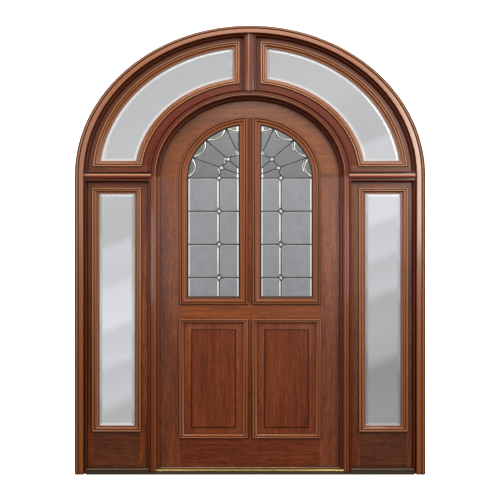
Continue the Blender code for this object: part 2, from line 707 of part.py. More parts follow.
def build_cames(name, opening, panes, side, leaf):
    """One flat lattice: the outline of the light less a hole for each pane."""
    front = LEAF_FRONT + LEADED_DEPTH
    curve = bpy.data.curves.new(name, "CURVE")
    curve.dimensions = "2D"
    curve.fill_mode = "BOTH"
    curve.extrude = CAME_THICKNESS / 2
    outer = inset(opening, MOULD_WEB + EDGE_CLEARANCE)
    holes = [inset(pane, CAME_WIDTH / 2) for pane in panes]
    for outline in [outer] + holes:
        spline = curve.splines.new("POLY")
        spline.points.add(len(outline) - 1)
        for point, (u, w) in zip(spline.points, outline):
            point.co = (side * u, ARCH_RATIO * w, 0, 1)
        spline.use_cyclic_u = True
    lattice = bpy.data.objects.new(name, curve)
    lattice.parent = leaf
    lattice.rotation_euler = (math.pi / 2, 0, 0)
    lattice.location = Vector((0, front + CAME_THICKNESS / 2, SPRING_HEIGHT)) - leaf.location
    bpy.context.scene.collection.objects.link(lattice)
    paint(lattice, LEAD)


def build_leaded_lights(leaf):
    edge, half = LEAF_HALF_WIDTH - LEAF_STILE_WIDTH, MUNTIN_WIDTH / 2
    foot = up(leaf_levels()[2])
    front = LEAF_FRONT + LEADED_DEPTH
    glass_front = front + CAME_THICKNESS + GAP
    glass_back = glass_front + LEADED_GLASS_THICKNESS
    section = glazing_section(LEAF_FRONT, BACK, front - GAP, glass_back + GAP, LIGHT_MOULD_WIDTH)
    opening = arched_outline(edge, half, foot)
    border = LIGHT_MOULD_WIDTH - MOULD_LAP + BORDER_CAME_WIDTH - CAME_WIDTH / 2
    near, far, bottom = half + border, edge - border, foot + border
    panes = level_panes(near, far, bottom) + fan_panes(near, far)
    for side, word in SIDES:
        placed = mirrored(opening, side)
        add(f"{word}_lite_moulding", ring_moulding(placed, section), MAHOGANY, leaf)
        pane = inset(placed, MOULD_WEB + EDGE_CLEARANCE)
        add(f"{word}_leaded_glass", prism(pane, glass_front, glass_back), GLASS, leaf)
        build_cames(f"{word}_lead_cames", opening, panes, side, leaf)


# Hinges

def hinge_recess(outer, inner):
    """One cutter with a shallow box at each hinge, open to the back of the door."""
    cutter = bmesh.new()
    half = HINGE_LENGTH / 2 + GAP
    for height in HINGE_HEIGHTS:
        front = BACK - HINGE_WIDTH - GAP
        size = (inner - outer, BACK + 5 * MM - front, 2 * half)
        centre = ((inner + outer) / 2, (BACK + 5 * MM + front) / 2, height)
        matrix = Matrix.Translation(centre) @ Matrix.Diagonal((*size, 1))
        bmesh.ops.create_cube(cutter, size=1, matrix=matrix)
    return cutter


def build_hinges(frame, leaf):
    """Butt hinges: the frame half has the end knuckles and the pin, the leaf half the middle one."""
    third = HINGE_LENGTH / 3
    front = BACK - HINGE_WIDTH
    neck_back = HINGE_Y - PIN_RADIUS
    post_face, leaf_face = -REBATE, -LEAF_HALF_WIDTH
    frame_plate = (post_face - HINGE_THICKNESS + GAP, post_face + GAP)
    leaf_plate = (leaf_face - GAP, leaf_face + HINGE_THICKNESS - GAP)
    for number, middle in enumerate(HINGE_HEIGHTS, 1):
        bottom, top = middle - HINGE_LENGTH / 2, middle + HINGE_LENGTH / 2
        half = plank(*frame_plate, bottom, top, front, BACK)
        fixed = add(f"hinge_{number}_frame_half", half, BRASS, frame)
        for word, low, high in (("low", bottom, bottom + third), ("high", top - third, top)):
            neck = plank(*frame_plate, low, high, BACK - 2 * MM, neck_back)
            combine(fixed, "UNION", neck, f"hinge_{number}_{word}_neck")
            knuckle = cylinder(HINGE_X, HINGE_Y, BARREL_RADIUS, low, high, 12)
            combine(fixed, "UNION", knuckle, f"hinge_{number}_{word}_knuckle")
        pin = cylinder(HINGE_X, HINGE_Y, PIN_RADIUS, bottom + third / 2, top - third / 2, 8)
        combine(fixed, "UNION", pin, f"hinge_{number}_pin")
        half = plank(*leaf_plate, bottom, top, front, BACK)
        moving = add(f"hinge_{number}_leaf_half", half, BRASS, leaf)
        low, high = bottom + third + GAP, top - third - GAP
        neck = plank(*leaf_plate, low, high, BACK - 2 * MM, neck_back)
        combine(moving, "UNION", neck, f"hinge_{number}_leaf_neck")
        knuckle = cylinder(HINGE_X, HINGE_Y, BARREL_RADIUS, low, high, 12)
        combine(moving, "UNION", knuckle, f"hinge_{number}_leaf_knuckle")
        bore = cylinder(HINGE_X, HINGE_Y, PIN_RADIUS + PIN_CLEARANCE, bottom, top, 8)
        combine(moving, "DIFFERENCE", bore, f"hinge_{number}_bore")


def main():
    for obj in list(bpy.data.objects):
        bpy.data.objects.remove(obj)
    frame = empty("frame", Vector((0, 0, 0)))
    leaf = empty("leaf_on_hinge_axis", Vector((HINGE_X, HINGE_Y, 0)))
    build_casing(frame)
    build_jambs(frame)
    build_mulls(frame)
    build_mullions(frame)
    build_sill(frame)
    build_threshold(frame)
    build_sidelights(frame)
    build_transoms(frame)
    build_leaf_members(leaf)
    build_panels(leaf)
    build_leaded_lights(leaf)
    build_hinges(frame, leaf)


main()
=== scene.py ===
import math
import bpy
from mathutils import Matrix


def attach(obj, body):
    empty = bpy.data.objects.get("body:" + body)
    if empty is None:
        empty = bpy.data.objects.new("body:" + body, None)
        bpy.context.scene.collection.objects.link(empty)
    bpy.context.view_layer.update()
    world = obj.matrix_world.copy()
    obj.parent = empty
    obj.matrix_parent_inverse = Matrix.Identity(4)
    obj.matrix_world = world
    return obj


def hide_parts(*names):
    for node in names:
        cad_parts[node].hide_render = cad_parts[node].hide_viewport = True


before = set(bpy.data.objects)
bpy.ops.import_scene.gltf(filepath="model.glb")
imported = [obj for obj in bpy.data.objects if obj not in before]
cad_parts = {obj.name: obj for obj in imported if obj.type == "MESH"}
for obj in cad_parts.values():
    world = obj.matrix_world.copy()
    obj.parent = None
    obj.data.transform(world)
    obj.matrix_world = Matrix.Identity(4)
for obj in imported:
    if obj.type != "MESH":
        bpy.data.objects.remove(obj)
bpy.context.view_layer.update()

import zlib

import bmesh
import bpy
from mathutils import Vector

for leftover in ("Cube", "Light", "Camera"):
    if leftover in bpy.data.objects:
        bpy.data.objects.remove(bpy.data.objects[leftover])

mm = 0.001

# Main sizes of the unit in millimetres, as the CAD has them; depths run back from the front.
# Arches are half ellipses. They are drawn as circles on a flat sheet and stood up by stand(), so
# every offset keeps an even width there.
unit = {
    "springHeight": 1705,
    "archRise": 0.858,  # an arch's height over half its width
    "arcStep": 2.0,  # degrees between points on an arch
    "casingOuter": 1002,
    "casingInner": 951,
    "jambInner": 936,
    "mullOuter": 580,
    "rebate": 536.5,
    "stopInner": 523.5,
    "mullionHalf": 34,
    "front": -58,
    "back": 58,
    "riserTop": 30.7,
    "sashFront": -32,
    "sashBack": 12.5,
    "leafFront": 13.5,
    "leafBack": 58,
    "leafHalf": 533.5,
    "leafEdge": 403,
    "muntinHalf": 21,
    "springJoint": 0.4,  # upright members stop this far below the spring
}
bothSides = ((1, "right"), (-1, "left"))


def stand(u, w, y):
    return Vector((u * mm, y * mm, (unit["springHeight"] + unit["archRise"] * w) * mm))


def drawn(height):
    return (height - unit["springHeight"]) / unit["archRise"]


def linear(hexCode, alpha=1.0):
    channels = [int(hexCode[i:i + 2], 16) / 255 for i in (1, 3, 5)]
    return tuple(c / 12.92 if c <= 0.04045 else ((c + 0.055) / 1.055) ** 2.4 for c in channels) + (alpha,)


def addNode(tree, kind, settings=None, links=None):
    node = tree.nodes.new("ShaderNode" + kind)
    for key, value in (settings or {}).items():
        if key in ("From", "To"):  # both ends of a range
            node.inputs[key + " Min"].default_value, node.inputs[key + " Max"].default_value = value
        elif isinstance(key, int) or key in node.inputs:
            node.inputs[key].default_value = value
        else:
            setattr(node, key, value)
    for key, source in (links or {}).items():  # a node stands for its first output
        tree.links.new(getattr(source, "outputs", [source])[0], node.inputs[key])
    return node


def newMaterial(name):
    material = bpy.data.materials.new(name)
    material.use_nodes = True
    tree = material.node_tree
    tree.nodes.clear()
    return material, tree


def finishMaterial(tree, shader):
    addNode(tree, "OutputMaterial", links={"Surface": shader})


def setRamp(node, stops):
    ramp = node.color_ramp
    while len(ramp.elements) > 1:
        ramp.elements.remove(ramp.elements[-1])
    for i, (place, colour) in enumerate(stops):
        element = ramp.elements[0] if i == 0 else ramp.elements.new(place)
        element.position = place
        element.color = colour


# Stained mahogany under sprayed varnish: red-brown, with a ribbon figure along the grain and short
# open pores. "stain" is its dark, middle and light tone. "quirk" is painted shade: a near black colour
# laid into the quirks of the mouldings, so they read as dark lines, and recesses get a softer painted
# shade. "coat" is the varnish's weight and roughness: the heavier it is, the more of the studio lies
# over the wood as a pale shine.
mahoganyLooks = {
    # posts and jambs: glossy red-brown with soft stripes of light
    "frame": {"stain": ("#481C0A", "#713314", "#924E24"), "quirk": "#140502",
              "roughness": 0.32, "coat": (0.4, 0.1), "specular": 0.4},
    # casing: the most varnish, so its flat shines nearly white on the lit side
    "casing": {"stain": ("#4C240C", "#764018", "#985E2A"), "quirk": "#140502",
               "roughness": 0.3, "coat": (1.0, 0.14)},
    # stiles and rails of the fixed sashes: a darker stain as painted shade, for their place set back in the
    # frame's shadow; little shine
    "sash": {"stain": ("#3A1709", "#632B11", "#834820"), "quirk": "#120402",
             "roughness": 0.36, "coat": (0.12, 0.18), "specular": 0.3},
    # arched head, beads and strips: a deeper red stain than the posts, as painted shade, and nearly matt, so
    # their curves stay dark
    "head": {"stain": ("#2C0C05", "#5A220E", "#964C20"), "quirk": "#120402",
             "roughness": 0.4, "coat": (0.06, 0.14), "specular": 0.18},
    # mouldings round the plain glass: golden brown with sharp light along each edge
    "moulding": {"stain": ("#49230D", "#753F19", "#965C28"), "quirk": "#1C0803",
                 "roughness": 0.3, "coat": (0.5, 0.12), "cornerShadeRange": (0.2, 0.62), "recessShade": 0.75},
    # mouldings of the leaf: the same brown in satin, with softer light
    "leafMoulding": {"stain": ("#44200B", "#6F3916", "#8E5122"), "quirk": "#160602",
                     "roughness": 0.4, "coat": (0.15, 0.2), "specular": 0.3,
                     "cornerShadeRange": (0.32, 0.8), "recessShade": 0.7},
    "panelMoulding": {"stain": ("#4C240E", "#7E4420", "#A06430"), "quirk": "#160602",
                      "roughness": 0.38, "coat": (0.2, 0.2), "specular": 0.4,
                      "cornerShadeRange": (0.36, 0.82), "recessShade": 0.7},
    # arched rail of the leaf: even tan-brown under a dull shine from above
    "leafArch": {"stain": ("#542A10", "#6C3815", "#82491E"), "quirk": "#180602",
                 "roughness": 0.34, "coat": (0.2, 0.2), "specular": 0.3},
    # boards near the ground: dark and dull, out of the light
    "lowRail": {"stain": ("#331509", "#4F2714", "#64351E"), "quirk": "#130401",
                "roughness": 0.42, "coat": (0.06, 0.24), "specular": 0.25},
    "lowBoard": {"stain": ("#3C160A", "#5C2812", "#73371A"), "quirk": "#130401",
                 "roughness": 0.42, "coat": (0.06, 0.24), "specular": 0.2},
    # muntins and lock rail: warm orange-brown satin
    "muntin": {"stain": ("#3C1A07", "#5F2D0E", "#7C4218"), "quirk": "#180602",
               "roughness": 0.42, "coat": (0.05, 0.28), "specular": 0.15},
    "rail": {"stain": ("#50230A", "#6B3411", "#82461A"), "quirk": "#180602",
             "roughness": 0.38, "coat": (0.15, 0.22), "specular": 0.3},
    # painted highlight along the tops of beads: thin golden lines
    "paintedHighlight": {"stain": ("#6C4024", "#966842", "#BA9068"), "quirk": "#2E140A",
              "roughness": 0.4, "coat": (0.25, 0.2), "specular": 0.4},
    # painted shade for edges in shadow: near black-brown, so the outline stays crisp
    "edge": {"stain": ("#2A130B", "#3F2014", "#573020"), "quirk": "#120603",
             "roughness": 0.38, "coat": (0.25, 0.2)},
    # stiles of the leaf: satin varnish with a broad grey-brown shine in the upper half
    "leaf": {"stain": ("#431D0B", "#632F15", "#7F4423"), "quirk": "#180602",
             "roughness": 0.36, "coat": (0.4, 0.24), "specular": 0.4},
    # raised panels: red-brown, nearly matt, with a slightly lighter slope round the field
    "panel": {"stain": ("#421B0B", "#5F2B12", "#763A1C"), "quirk": "#160502",
              "roughness": 0.42, "coat": (0.08, 0.24), "specular": 0.2},
    "panelSlope": {"stain": ("#4B200D", "#693016", "#804220"), "quirk": "#160502",
                   "roughness": 0.4, "coat": (0.12, 0.24), "specular": 0.25},
}
grainScale = {  # in millimetres, along and across the grain
    "ribbonLength": 420,
    "ribbonWidth": 17,
    "streakLength": 60,
    "streakWidth": 5,  # growth streaks are 1 to 2 mm, drawn coarser so that they show
    "poreLength": 16,
    "poreWidth": 6,  # pores are 0.3 mm wide, drawn coarser so that they show
    "poreDepth": 0.2,
    "cloudLength": 900,  # slow change of tone over a board
    "cloudWidth": 140,
    "cornerShadeReach": 9,  # how far from a corner the painted shade reaches
    "recessShadeReach": 34,  # how far into a recess the painted shade reaches
}
grainTone = {
    "figureRange": (0.73, 1.27),  # sum of the patterns at the dark and at the light tone
    "poreRange": (0.30, 0.42),  # pattern value at an open and at a filled pore
    "pore": 0.45,
    "recessShadeRange": (0.4, 0.92),  # how open a spot is in full shade and in none
    "recessShade": 0.55,
    "cornerShadeRange": (0.42, 0.9),  # how closed a corner is before the painted shade shows in it
    "roughness": (-0.05, 0.1),  # how much smoother and rougher the varnish gets over the streaks
    "relief": 0.25,
}


def grainVector(tree, grain):
    if grain == "swept":
        return addNode(tree, "UVMap", {"uv_map": "grain"})
    place = addNode(tree, "TexCoord")
    split = addNode(tree, "SeparateXYZ", links={"Vector": place.outputs["Object"]})
    order = ("Z", "X", "Y") if grain == "upright" else ("X", "Z", "Y")
    joined = addNode(tree, "CombineXYZ", links={
        "X": split.outputs[order[0]], "Y": split.outputs[order[1]], "Z": split.outputs[order[2]]})
    return joined


def stretchedNoise(tree, vector, length, width, detail, roughness=0.5, warp=0.0):
    scale = (1 / (length * mm), 1 / (width * mm), 1 / (width * mm))
    mapped = addNode(tree, "Mapping", {"Scale": scale}, {"Vector": vector})
    return addNode(tree, "TexNoise", {
        "Scale": 1.0, "Detail": detail, "Roughness": roughness, "Distortion": warp,
    }, {"Vector": mapped})


def mahogany(name, lookName, grain):
    look, scale, tone = mahoganyLooks[lookName], grainScale, grainTone
    material, tree = newMaterial(name)
    vector = grainVector(tree, grain)
    ribbon = stretchedNoise(tree, vector, scale["ribbonLength"], scale["ribbonWidth"], 2, 0.5, 0.4)
    streak = stretchedNoise(tree, vector, scale["streakLength"], scale["streakWidth"], 6, 0.65)
    pore = stretchedNoise(tree, vector, scale["poreLength"], scale["poreWidth"], 2)
    cloud = stretchedNoise(tree, vector, scale["cloudLength"], scale["cloudWidth"], 2)
    figure = addNode(tree, "Math", {"operation": "MULTIPLY_ADD", 1: 0.5}, {0: ribbon, 2: streak})
    figure = addNode(tree, "Math", {"operation": "MULTIPLY_ADD", 1: 0.5}, {0: cloud, 2: figure})
    spread = addNode(tree, "MapRange", {"From": tone["figureRange"]}, {"Value": figure})
    ramp = addNode(tree, "ValToRGB", links={"Fac": spread})
    setRamp(ramp, [(0.5 * i, linear(colour)) for i, colour in enumerate(look["stain"])])
    holes = addNode(tree, "MapRange", {"From": tone["poreRange"], "To": (tone["pore"], 1.0)}, {"Value": pore})
    multiply = {"data_type": "RGBA", "blend_type": "MULTIPLY", 0: 1.0}
    pored = addNode(tree, "Mix", multiply, {6: ramp, 7: holes})
    # painted shade: ambient occlusion darkens recesses softly and lays the near black quirk colour into corners
    recessShade = addNode(tree, "AmbientOcclusion", {"samples": 6, "Distance": scale["recessShadeReach"] * mm})
    deep = addNode(tree, "MapRange", {
        "From": tone["recessShadeRange"], "To": (look.get("recessShade", tone["recessShade"]), 1.0)}, {
        "Value": recessShade.outputs["AO"]})
    recessShaded = addNode(tree, "Mix", multiply, {6: pored.outputs[2], 7: deep})
    corner = addNode(tree, "AmbientOcclusion", {"samples": 6, "Distance": scale["cornerShadeReach"] * mm})
    openness = addNode(tree, "MapRange", {"From": look.get("cornerShadeRange", tone["cornerShadeRange"])}, {
        "Value": corner.outputs["AO"]})
    cornerShaded = addNode(tree, "Mix", {"data_type": "RGBA", 6: linear(look["quirk"])}, {
        0: openness, 7: recessShaded.outputs[2]})
    rough = addNode(tree, "MapRange", {"To": [look["roughness"] + more for more in tone["roughness"]]}, {
        "Value": streak})
    height = addNode(tree, "Math", {"operation": "MULTIPLY_ADD", 1: 0.4}, {0: streak, 2: holes})
    relief = addNode(tree, "Bump", {"Strength": tone["relief"], "Distance": scale["poreDepth"] * mm}, {
        "Height": height})
    shader = addNode(tree, "BsdfPrincipled", {
        "IOR": 1.5, "Specular IOR Level": look.get("specular", 0.5), "Coat Weight": look["coat"][0],
        "Coat Roughness": look["coat"][1]}, {
        "Base Color": cornerShaded.outputs[2], "Roughness": rough, "Normal": relief})
    finishMaterial(tree, shader)
    return material


# Polished plate glass with a wide ground bevel: clear and a little grey, framed by a paler and a darker
# grey line, painted highlight on the level bevels and painted shade on the upright ones. Bevelled grey
# glass in lead: dull grey panes, with ground edges painted white as highlights on some sides.
glassLooks = {
    "plate": {"colour": "#CFD1D5", "roughness": 0.0, "transmission": 1.0},
    "plateBevelShade": {"colour": "#A3A6A8", "roughness": 0.12, "transmission": 1.0},
    "plateHighlight": {"colour": "#E6E9ED", "roughness": 0.15, "transmission": 0.8},
    "tile": {"colour": "#8B919C", "roughness": 0.24, "transmission": 0.35},
    "tileHighlight": {"colour": "#F4F7FC", "roughness": 0.22, "transmission": 0.1},
    "tileEdge": {"colour": "#8E9195", "roughness": 0.22, "transmission": 0.2},
    "star": {"colour": "#C3C8D0", "roughness": 0.2, "transmission": 0.2},
    "petal": {"colour": "#70757F", "roughness": 0.24, "transmission": 0.35},
    "lens": {"colour": "#6C7776", "roughness": 0.2, "transmission": 0.35},
}
glassRipple = {"size": 38, "depth": 0.4, "relief": 0.12, "tone": (0.84, 1.12)}  # rolled waves, in millimetres


def clearGlass(name, lookName):
    look = glassLooks[lookName]
    material, tree = newMaterial(name)
    shader = addNode(tree, "BsdfPrincipled", {
        "Base Color": linear(look["colour"]), "Roughness": look["roughness"], "IOR": 1.5,
        "Transmission Weight": look["transmission"]})
    finishMaterial(tree, shader)
    return material


def tileGlass(name, lookName):
    look, wave = glassLooks[lookName], glassRipple
    material, tree = newMaterial(name)
    place = addNode(tree, "TexCoord")
    ripple = addNode(tree, "TexNoise", {"Scale": 1 / (wave["size"] * mm), "Detail": 3.0}, {
        "Vector": place.outputs["Object"]})
    tone = addNode(tree, "MapRange", {"To": wave["tone"]}, {"Value": ripple})
    tinted = addNode(tree, "Mix", {
        "data_type": "RGBA", "blend_type": "MULTIPLY", 0: 1.0, 6: linear(look["colour"])}, {
        7: tone})
    relief = addNode(tree, "Bump", {"Strength": wave["relief"], "Distance": wave["depth"] * mm}, {
        "Height": ripple})
    shader = addNode(tree, "BsdfPrincipled", {
        "Roughness": look["roughness"], "IOR": 1.5, "Transmission Weight": look["transmission"]}, {
        "Base Color": tinted.outputs[2], "Normal": relief})
    finishMaterial(tree, shader)
    return material


# Lead came blackened with patina: a dull line, darker than the glass. Brushed brass: a pale yellow
# strip with streaks along it. Aluminium sill with a baked bronze coat: almost black, no sparkle.
metalLooks = {
    "lead": {"colour": "#232427", "shade": "#17181A", "metallic": 0.5, "roughness": 0.42, "brush": (12, 12)},
    "brass": {"colour": "#C4B27C", "shade": "#9F8C56", "metallic": 1.0, "roughness": 0.27, "brush": (60, 1.2)},
    "bronze": {"colour": "#35312B", "shade": "#27231E", "metallic": 0.3, "roughness": 0.48, "brush": (90, 6)},
}
metalTone = {"roughness": (-0.06, 0.08), "relief": 0.1, "depth": 0.1}  # the brush marks, depth in millimetres


def metal(name, lookName):
    look = metalLooks[lookName]
    material, tree = newMaterial(name)
    brush = stretchedNoise(tree, grainVector(tree, "level"), *look["brush"], 3)
    colour = addNode(tree, "Mix", {
        "data_type": "RGBA", 6: linear(look["shade"]), 7: linear(look["colour"])}, {0: brush})
    rough = addNode(tree, "MapRange", {
        "To": [look["roughness"] + more for more in metalTone["roughness"]]}, {"Value": brush})
    relief = addNode(tree, "Bump", {
        "Strength": metalTone["relief"], "Distance": metalTone["depth"] * mm}, {"Height": brush})
    shader = addNode(tree, "BsdfPrincipled", {"Metallic": look["metallic"]}, {
        "Base Color": colour.outputs[2], "Roughness": rough,
        "Normal": relief})
    finishMaterial(tree, shader)
    return material


materials = {
    "frameSwept": mahogany("varnishedMahoganySwept", "frame", "swept"),
    "paleLevel": mahogany("paleMahoganyCap", "paintedHighlight", "level"),
    "casingSwept": mahogany("varnishedMahoganyCasing", "casing", "swept"),
    "shadedSashSwept": mahogany("shadedMahoganySashSwept", "sash", "swept"),
    "shadedSashUpright": mahogany("shadedMahoganySashUpright", "sash", "upright"),
    "shadedSashLevel": mahogany("shadedMahoganySashLevel", "sash", "level"),
    "shadedHeadSwept": mahogany("shadedMahoganyHead", "head", "swept"),
    "shadedHeadUpright": mahogany("shadedMahoganyCrownStile", "head", "upright"),
    "mouldingSwept": mahogany("varnishedMahoganyMoulding", "moulding", "swept"),
    "highlightSwept": mahogany("paintedHighlightMahogany", "paintedHighlight", "swept"),
    "shadeSwept": mahogany("paintedShadeMahogany", "edge", "swept"),
    "leafMoulding": mahogany("satinMahoganyLightMoulding", "leafMoulding", "swept"),
    "panelMoulding": mahogany("satinMahoganyPanelMoulding", "panelMoulding", "swept"),
    "leafArch": mahogany("satinMahoganyArchRail", "leafArch", "level"),
    "muntin": mahogany("satinMahoganyMuntin", "muntin", "upright"),
    "leafUpright": mahogany("satinMahoganyStile", "leaf", "upright"),
    "leafLevel": mahogany("satinMahoganyLockRail", "rail", "level"),
    "leafBottom": mahogany("satinMahoganyBottomRail", "lowBoard", "level"),
    "frameLow": mahogany("varnishedMahoganyLowRail", "lowRail", "level"),
    "panelUpright": mahogany("satinMahoganyPanel", "panel", "upright"),
    "panelSlope": mahogany("satinMahoganyPanelSlope", "panelSlope", "upright"),
    "plate": clearGlass("polishedPlateGlass", "plate"),
    "plateBevelShade": clearGlass("plateGlassPaintedShade", "plateBevelShade"),
    "plateHighlight": clearGlass("plateGlassPaintedHighlight", "plateHighlight"),
    "tile": tileGlass("greyTextureGlass", "tile"),
    "tileHighlight": tileGlass("paintedHighlightBevel", "tileHighlight"),
    "tileEdge": tileGlass("groundBevelLevel", "tileEdge"),
    "petal": tileGlass("greyPetalGlass", "petal"),
    "star": tileGlass("clearStarGlass", "star"),
    "lens": tileGlass("greyLensGlass", "lens"),
    "lead": metal("blackenedLeadCame", "lead"),
    "brass": metal("brushedBrass", "brass"),
    "bronze": metal("bronzeCoatedSill", "bronze"),
}
print("materials made:", len(materials))


# A shape gives its corners for any distance in from its outline, always the same number of them,
# so that a section can be swept round it with true mitres however tight its corners are.

def arcPoints(radius, start, end, steps=None):
    steps = steps or max(1, round(abs(end - start) / unit["arcStep"]))
    angles = [math.radians(start + (end - start) * i / steps) for i in range(steps + 1)]
    return [(radius * math.cos(a), radius * math.sin(a)) for a in angles]


def mirrored(outline, side):
    return list(outline) if side > 0 else [(-u, w) for u, w in reversed(outline)]


def mirroredShape(shape, side):
    return lambda d: mirrored(shape(d), side)


def outward(shape):
    return lambda d: shape(-d)


def halfRound(radius):
    return lambda d: arcPoints(radius + d, 0, 180)


def mitres(points, closed=True):
    result = []
    for i, here in enumerate(points):
        normals = []
        for a, b in ((i - 1, i), (i, i + 1)):
            if not closed and (a < 0 or b >= len(points)):
                continue
            p, q = points[a], points[b % len(points)]
            run = math.dist(p, q)
            normals.append((-(q[1] - p[1]) / run, (q[0] - p[0]) / run))
        nx, ny = (sum(n[k] for n in normals) for k in (0, 1))
        spread = 1 + normals[0][0] * normals[-1][0] + normals[0][1] * normals[-1][1]
        if len(normals) == 1:
            spread = 1
        result.append((nx / spread, ny / spread))
    return result


def inset(outline, distance, closed=True):
    steps = zip(outline, mitres(outline, closed))
    return [(p[0] + m[0] * distance, p[1] + m[1] * distance) for p, m in steps]


def along(points, closed=False):
    return lambda d: inset(points, d, closed)


def boxShape(left, right, bottom, top):
    return along([(left, bottom), (right, bottom), (right, top), (left, top)], True)


def archedShape(radius, near, bottom):
    def at(d):
        top = math.degrees(math.acos((near + d) / (radius - d)))
        return [(near + d, bottom + d), (radius - d, bottom + d)] + arcPoints(radius - d, 0, top, 44)
    return at


def ringShape(outer, inner, crown, foot):
    def at(d):
        edges = []
        for radius, steps in ((outer - d, 40), (inner + d, 40)):
            low = math.degrees(math.asin((foot + d) / radius))
            edges.append(arcPoints(radius, low, math.degrees(math.acos((crown + d) / radius)), steps))
        return edges[0] + edges[1][::-1]
    return at


def bump(a, b, base, proud, steps=8):
    turns = [math.pi * i / steps for i in range(steps + 1)]
    return [(a + (b - a) * (1 - math.cos(t)) / 2, base - proud * math.sin(t)) for t in turns]


def cove(start, end, steps=6):
    turns = [math.pi / 2 * i / steps for i in range(steps + 1)]
    return [(start[0] + (end[0] - start[0]) * (1 - math.cos(t)), start[1] + (end[1] - start[1]) * math.sin(t))
            for t in turns]


def highlightSlot(section, limit, otherSlots=None):
    # faces of a section that stand further forward than the limit take the piece's second material, its painted
    # highlight
    def slotOf(k):
        proud = max(section[k][1], section[(k + 1) % len(section)][1]) < limit
        return 1 if proud else (otherSlots or {}).get(k, 0)
    return slotOf


def linkedObject(name, data):
    made = bpy.data.objects.new(name, data)
    bpy.context.scene.collection.objects.link(made)
    return made


def meshObject(name, mesh, surfaces):
    data = bpy.data.meshes.new(name)
    mesh.to_mesh(data)
    mesh.free()
    data.shade_smooth()
    for material in surfaces:
        data.materials.append(material)
    return linkedObject(name, data)


def finishPiece(name, mesh, body, surfaces, replaced=(), slotName=None, sharp=32):
    bmesh.ops.recalc_face_normals(mesh, faces=mesh.faces)
    piece = meshObject(name, mesh, [materials[surface] for surface in surfaces])
    piece.data.set_sharp_from_angle(angle=math.radians(sharp))
    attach(piece, body)
    if replaced:
        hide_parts(*replaced)


def sweepInto(mesh, name, shape, section, closed, slotOf=None):
    grain = mesh.loops.layers.uv.verify()
    offset = (zlib.crc32(name.encode()) % 977) / 100  # metres, so that no two pieces show the same grain
    lines = [shape(d) for d, y in section]
    path = lines[0]
    rings = [[mesh.verts.new(stand(*line[i], y)) for line, (d, y) in zip(lines, section)]
             for i in range(len(path))]
    across, run = [0], [0]
    for a, b in zip(section, section[1:] + section[:1]):
        across.append(across[-1] + math.dist(a, b) * mm)
    for a, b in zip(path, path[1:] + path[:1]):
        run.append(run[-1] + math.dist(a, b) * mm)
    for i in range(len(path) if closed else len(path) - 1):
        j = (i + 1) % len(path)
        for k in range(len(section)):
            m = (k + 1) % len(section)
            face = mesh.faces.new((rings[i][k], rings[i][m], rings[j][m], rings[j][k]))
            if slotOf:
                face.material_index = slotOf(k)
            spots = ((i, k), (i, k + 1), (i + 1, k + 1), (i + 1, k))
            for loop, (s, t) in zip(face.loops, spots):
                loop[grain].uv = (run[s] + offset, across[t] + offset)
    if not closed:
        for ring in (rings[0], rings[-1]):
            face = mesh.faces.new(ring)
            for loop in face.loops:
                loop[grain].uv = (loop.vert.co.y, loop.vert.co.x + offset)


def sweepPiece(name, shape, section, body, surfaces, closed=False, slotOf=None, **facts):
    mesh = bmesh.new()
    sweepInto(mesh, name, shape, section, closed, slotOf)
    finishPiece(name, mesh, body, surfaces, **facts)


def frameWood(name, shape, section, surfaces, *replaced, **facts):
    sweepPiece(name, shape, section, "frame", surfaces, replaced=replaced,
               slotName="frame_mahogany", **facts)


def leafWood(name, shape, section, surfaces, *replaced, **facts):
    sweepPiece(name, shape, section, "leaf", surfaces, replaced=replaced,
               slotName="leaf_mahogany", **facts)


def platePiece(name, shape, layers, body, surfaces, slotOf=None, **facts):
    mesh = bmesh.new()
    addPlate(mesh, shape, layers, slotOf)
    finishPiece(name, mesh, body, surfaces, **facts)


def shrinking(outline, pace):
    # for small curved panes, whose corners would cross in a true inset
    centre = [sum(p[k] for p in outline) / len(outline) for k in (0, 1)]
    reach = max(math.dist(p, centre) for p in outline)
    return lambda d: [tuple(c + (1 - pace * d / reach) * (v - c) for v, c in zip(p, centre)) for p in outline]


def addPlate(mesh, shape, layers, slotOf=None):
    grain = mesh.loops.layers.uv.verify()
    rings = [[mesh.verts.new(stand(p[0], p[1], y)) for p in shape(d)] for d, y in layers]
    outline = shape(0)
    count = len(outline)
    made = []
    for level, (a, b) in enumerate(zip(rings, rings[1:])):
        for i in range(count):
            j = (i + 1) % count
            face = mesh.faces.new((a[i], a[j], b[j], b[i]))
            edge = (outline[j][0] - outline[i][0], outline[j][1] - outline[i][1])
            face.material_index = slotOf(level, edge, outline[i]) if slotOf else 0
            made.append(face)
    for ring in (rings[0], rings[-1]):
        face = mesh.faces.new(ring)
        face.material_index = slotOf(-1, None, None) if slotOf else 0
        made.append(face)
    for face in made:
        for loop in face.loops:
            loop[grain].uv = (loop.vert.co.z, loop.vert.co.x)


# The outer frame. A section is a list of (distance, depth) pairs in millimetres, the distance measured
# across the face from the line that the section is swept along.
casing = {
    "bandWidth": 10, "bandSide": -71, "bandFoot": -72.5, "bandTop": -79.5,  # sloping back band
    "beadWidth": 11, "beadFoot": -80, "beadCrest": -88,
    "quirkWidth": 3, "quirkFloor": -79,
    "face": -84,
    "paintedHighlight": -86,  # the bead takes a painted highlight in front of this depth
    "back": -58.3,
}


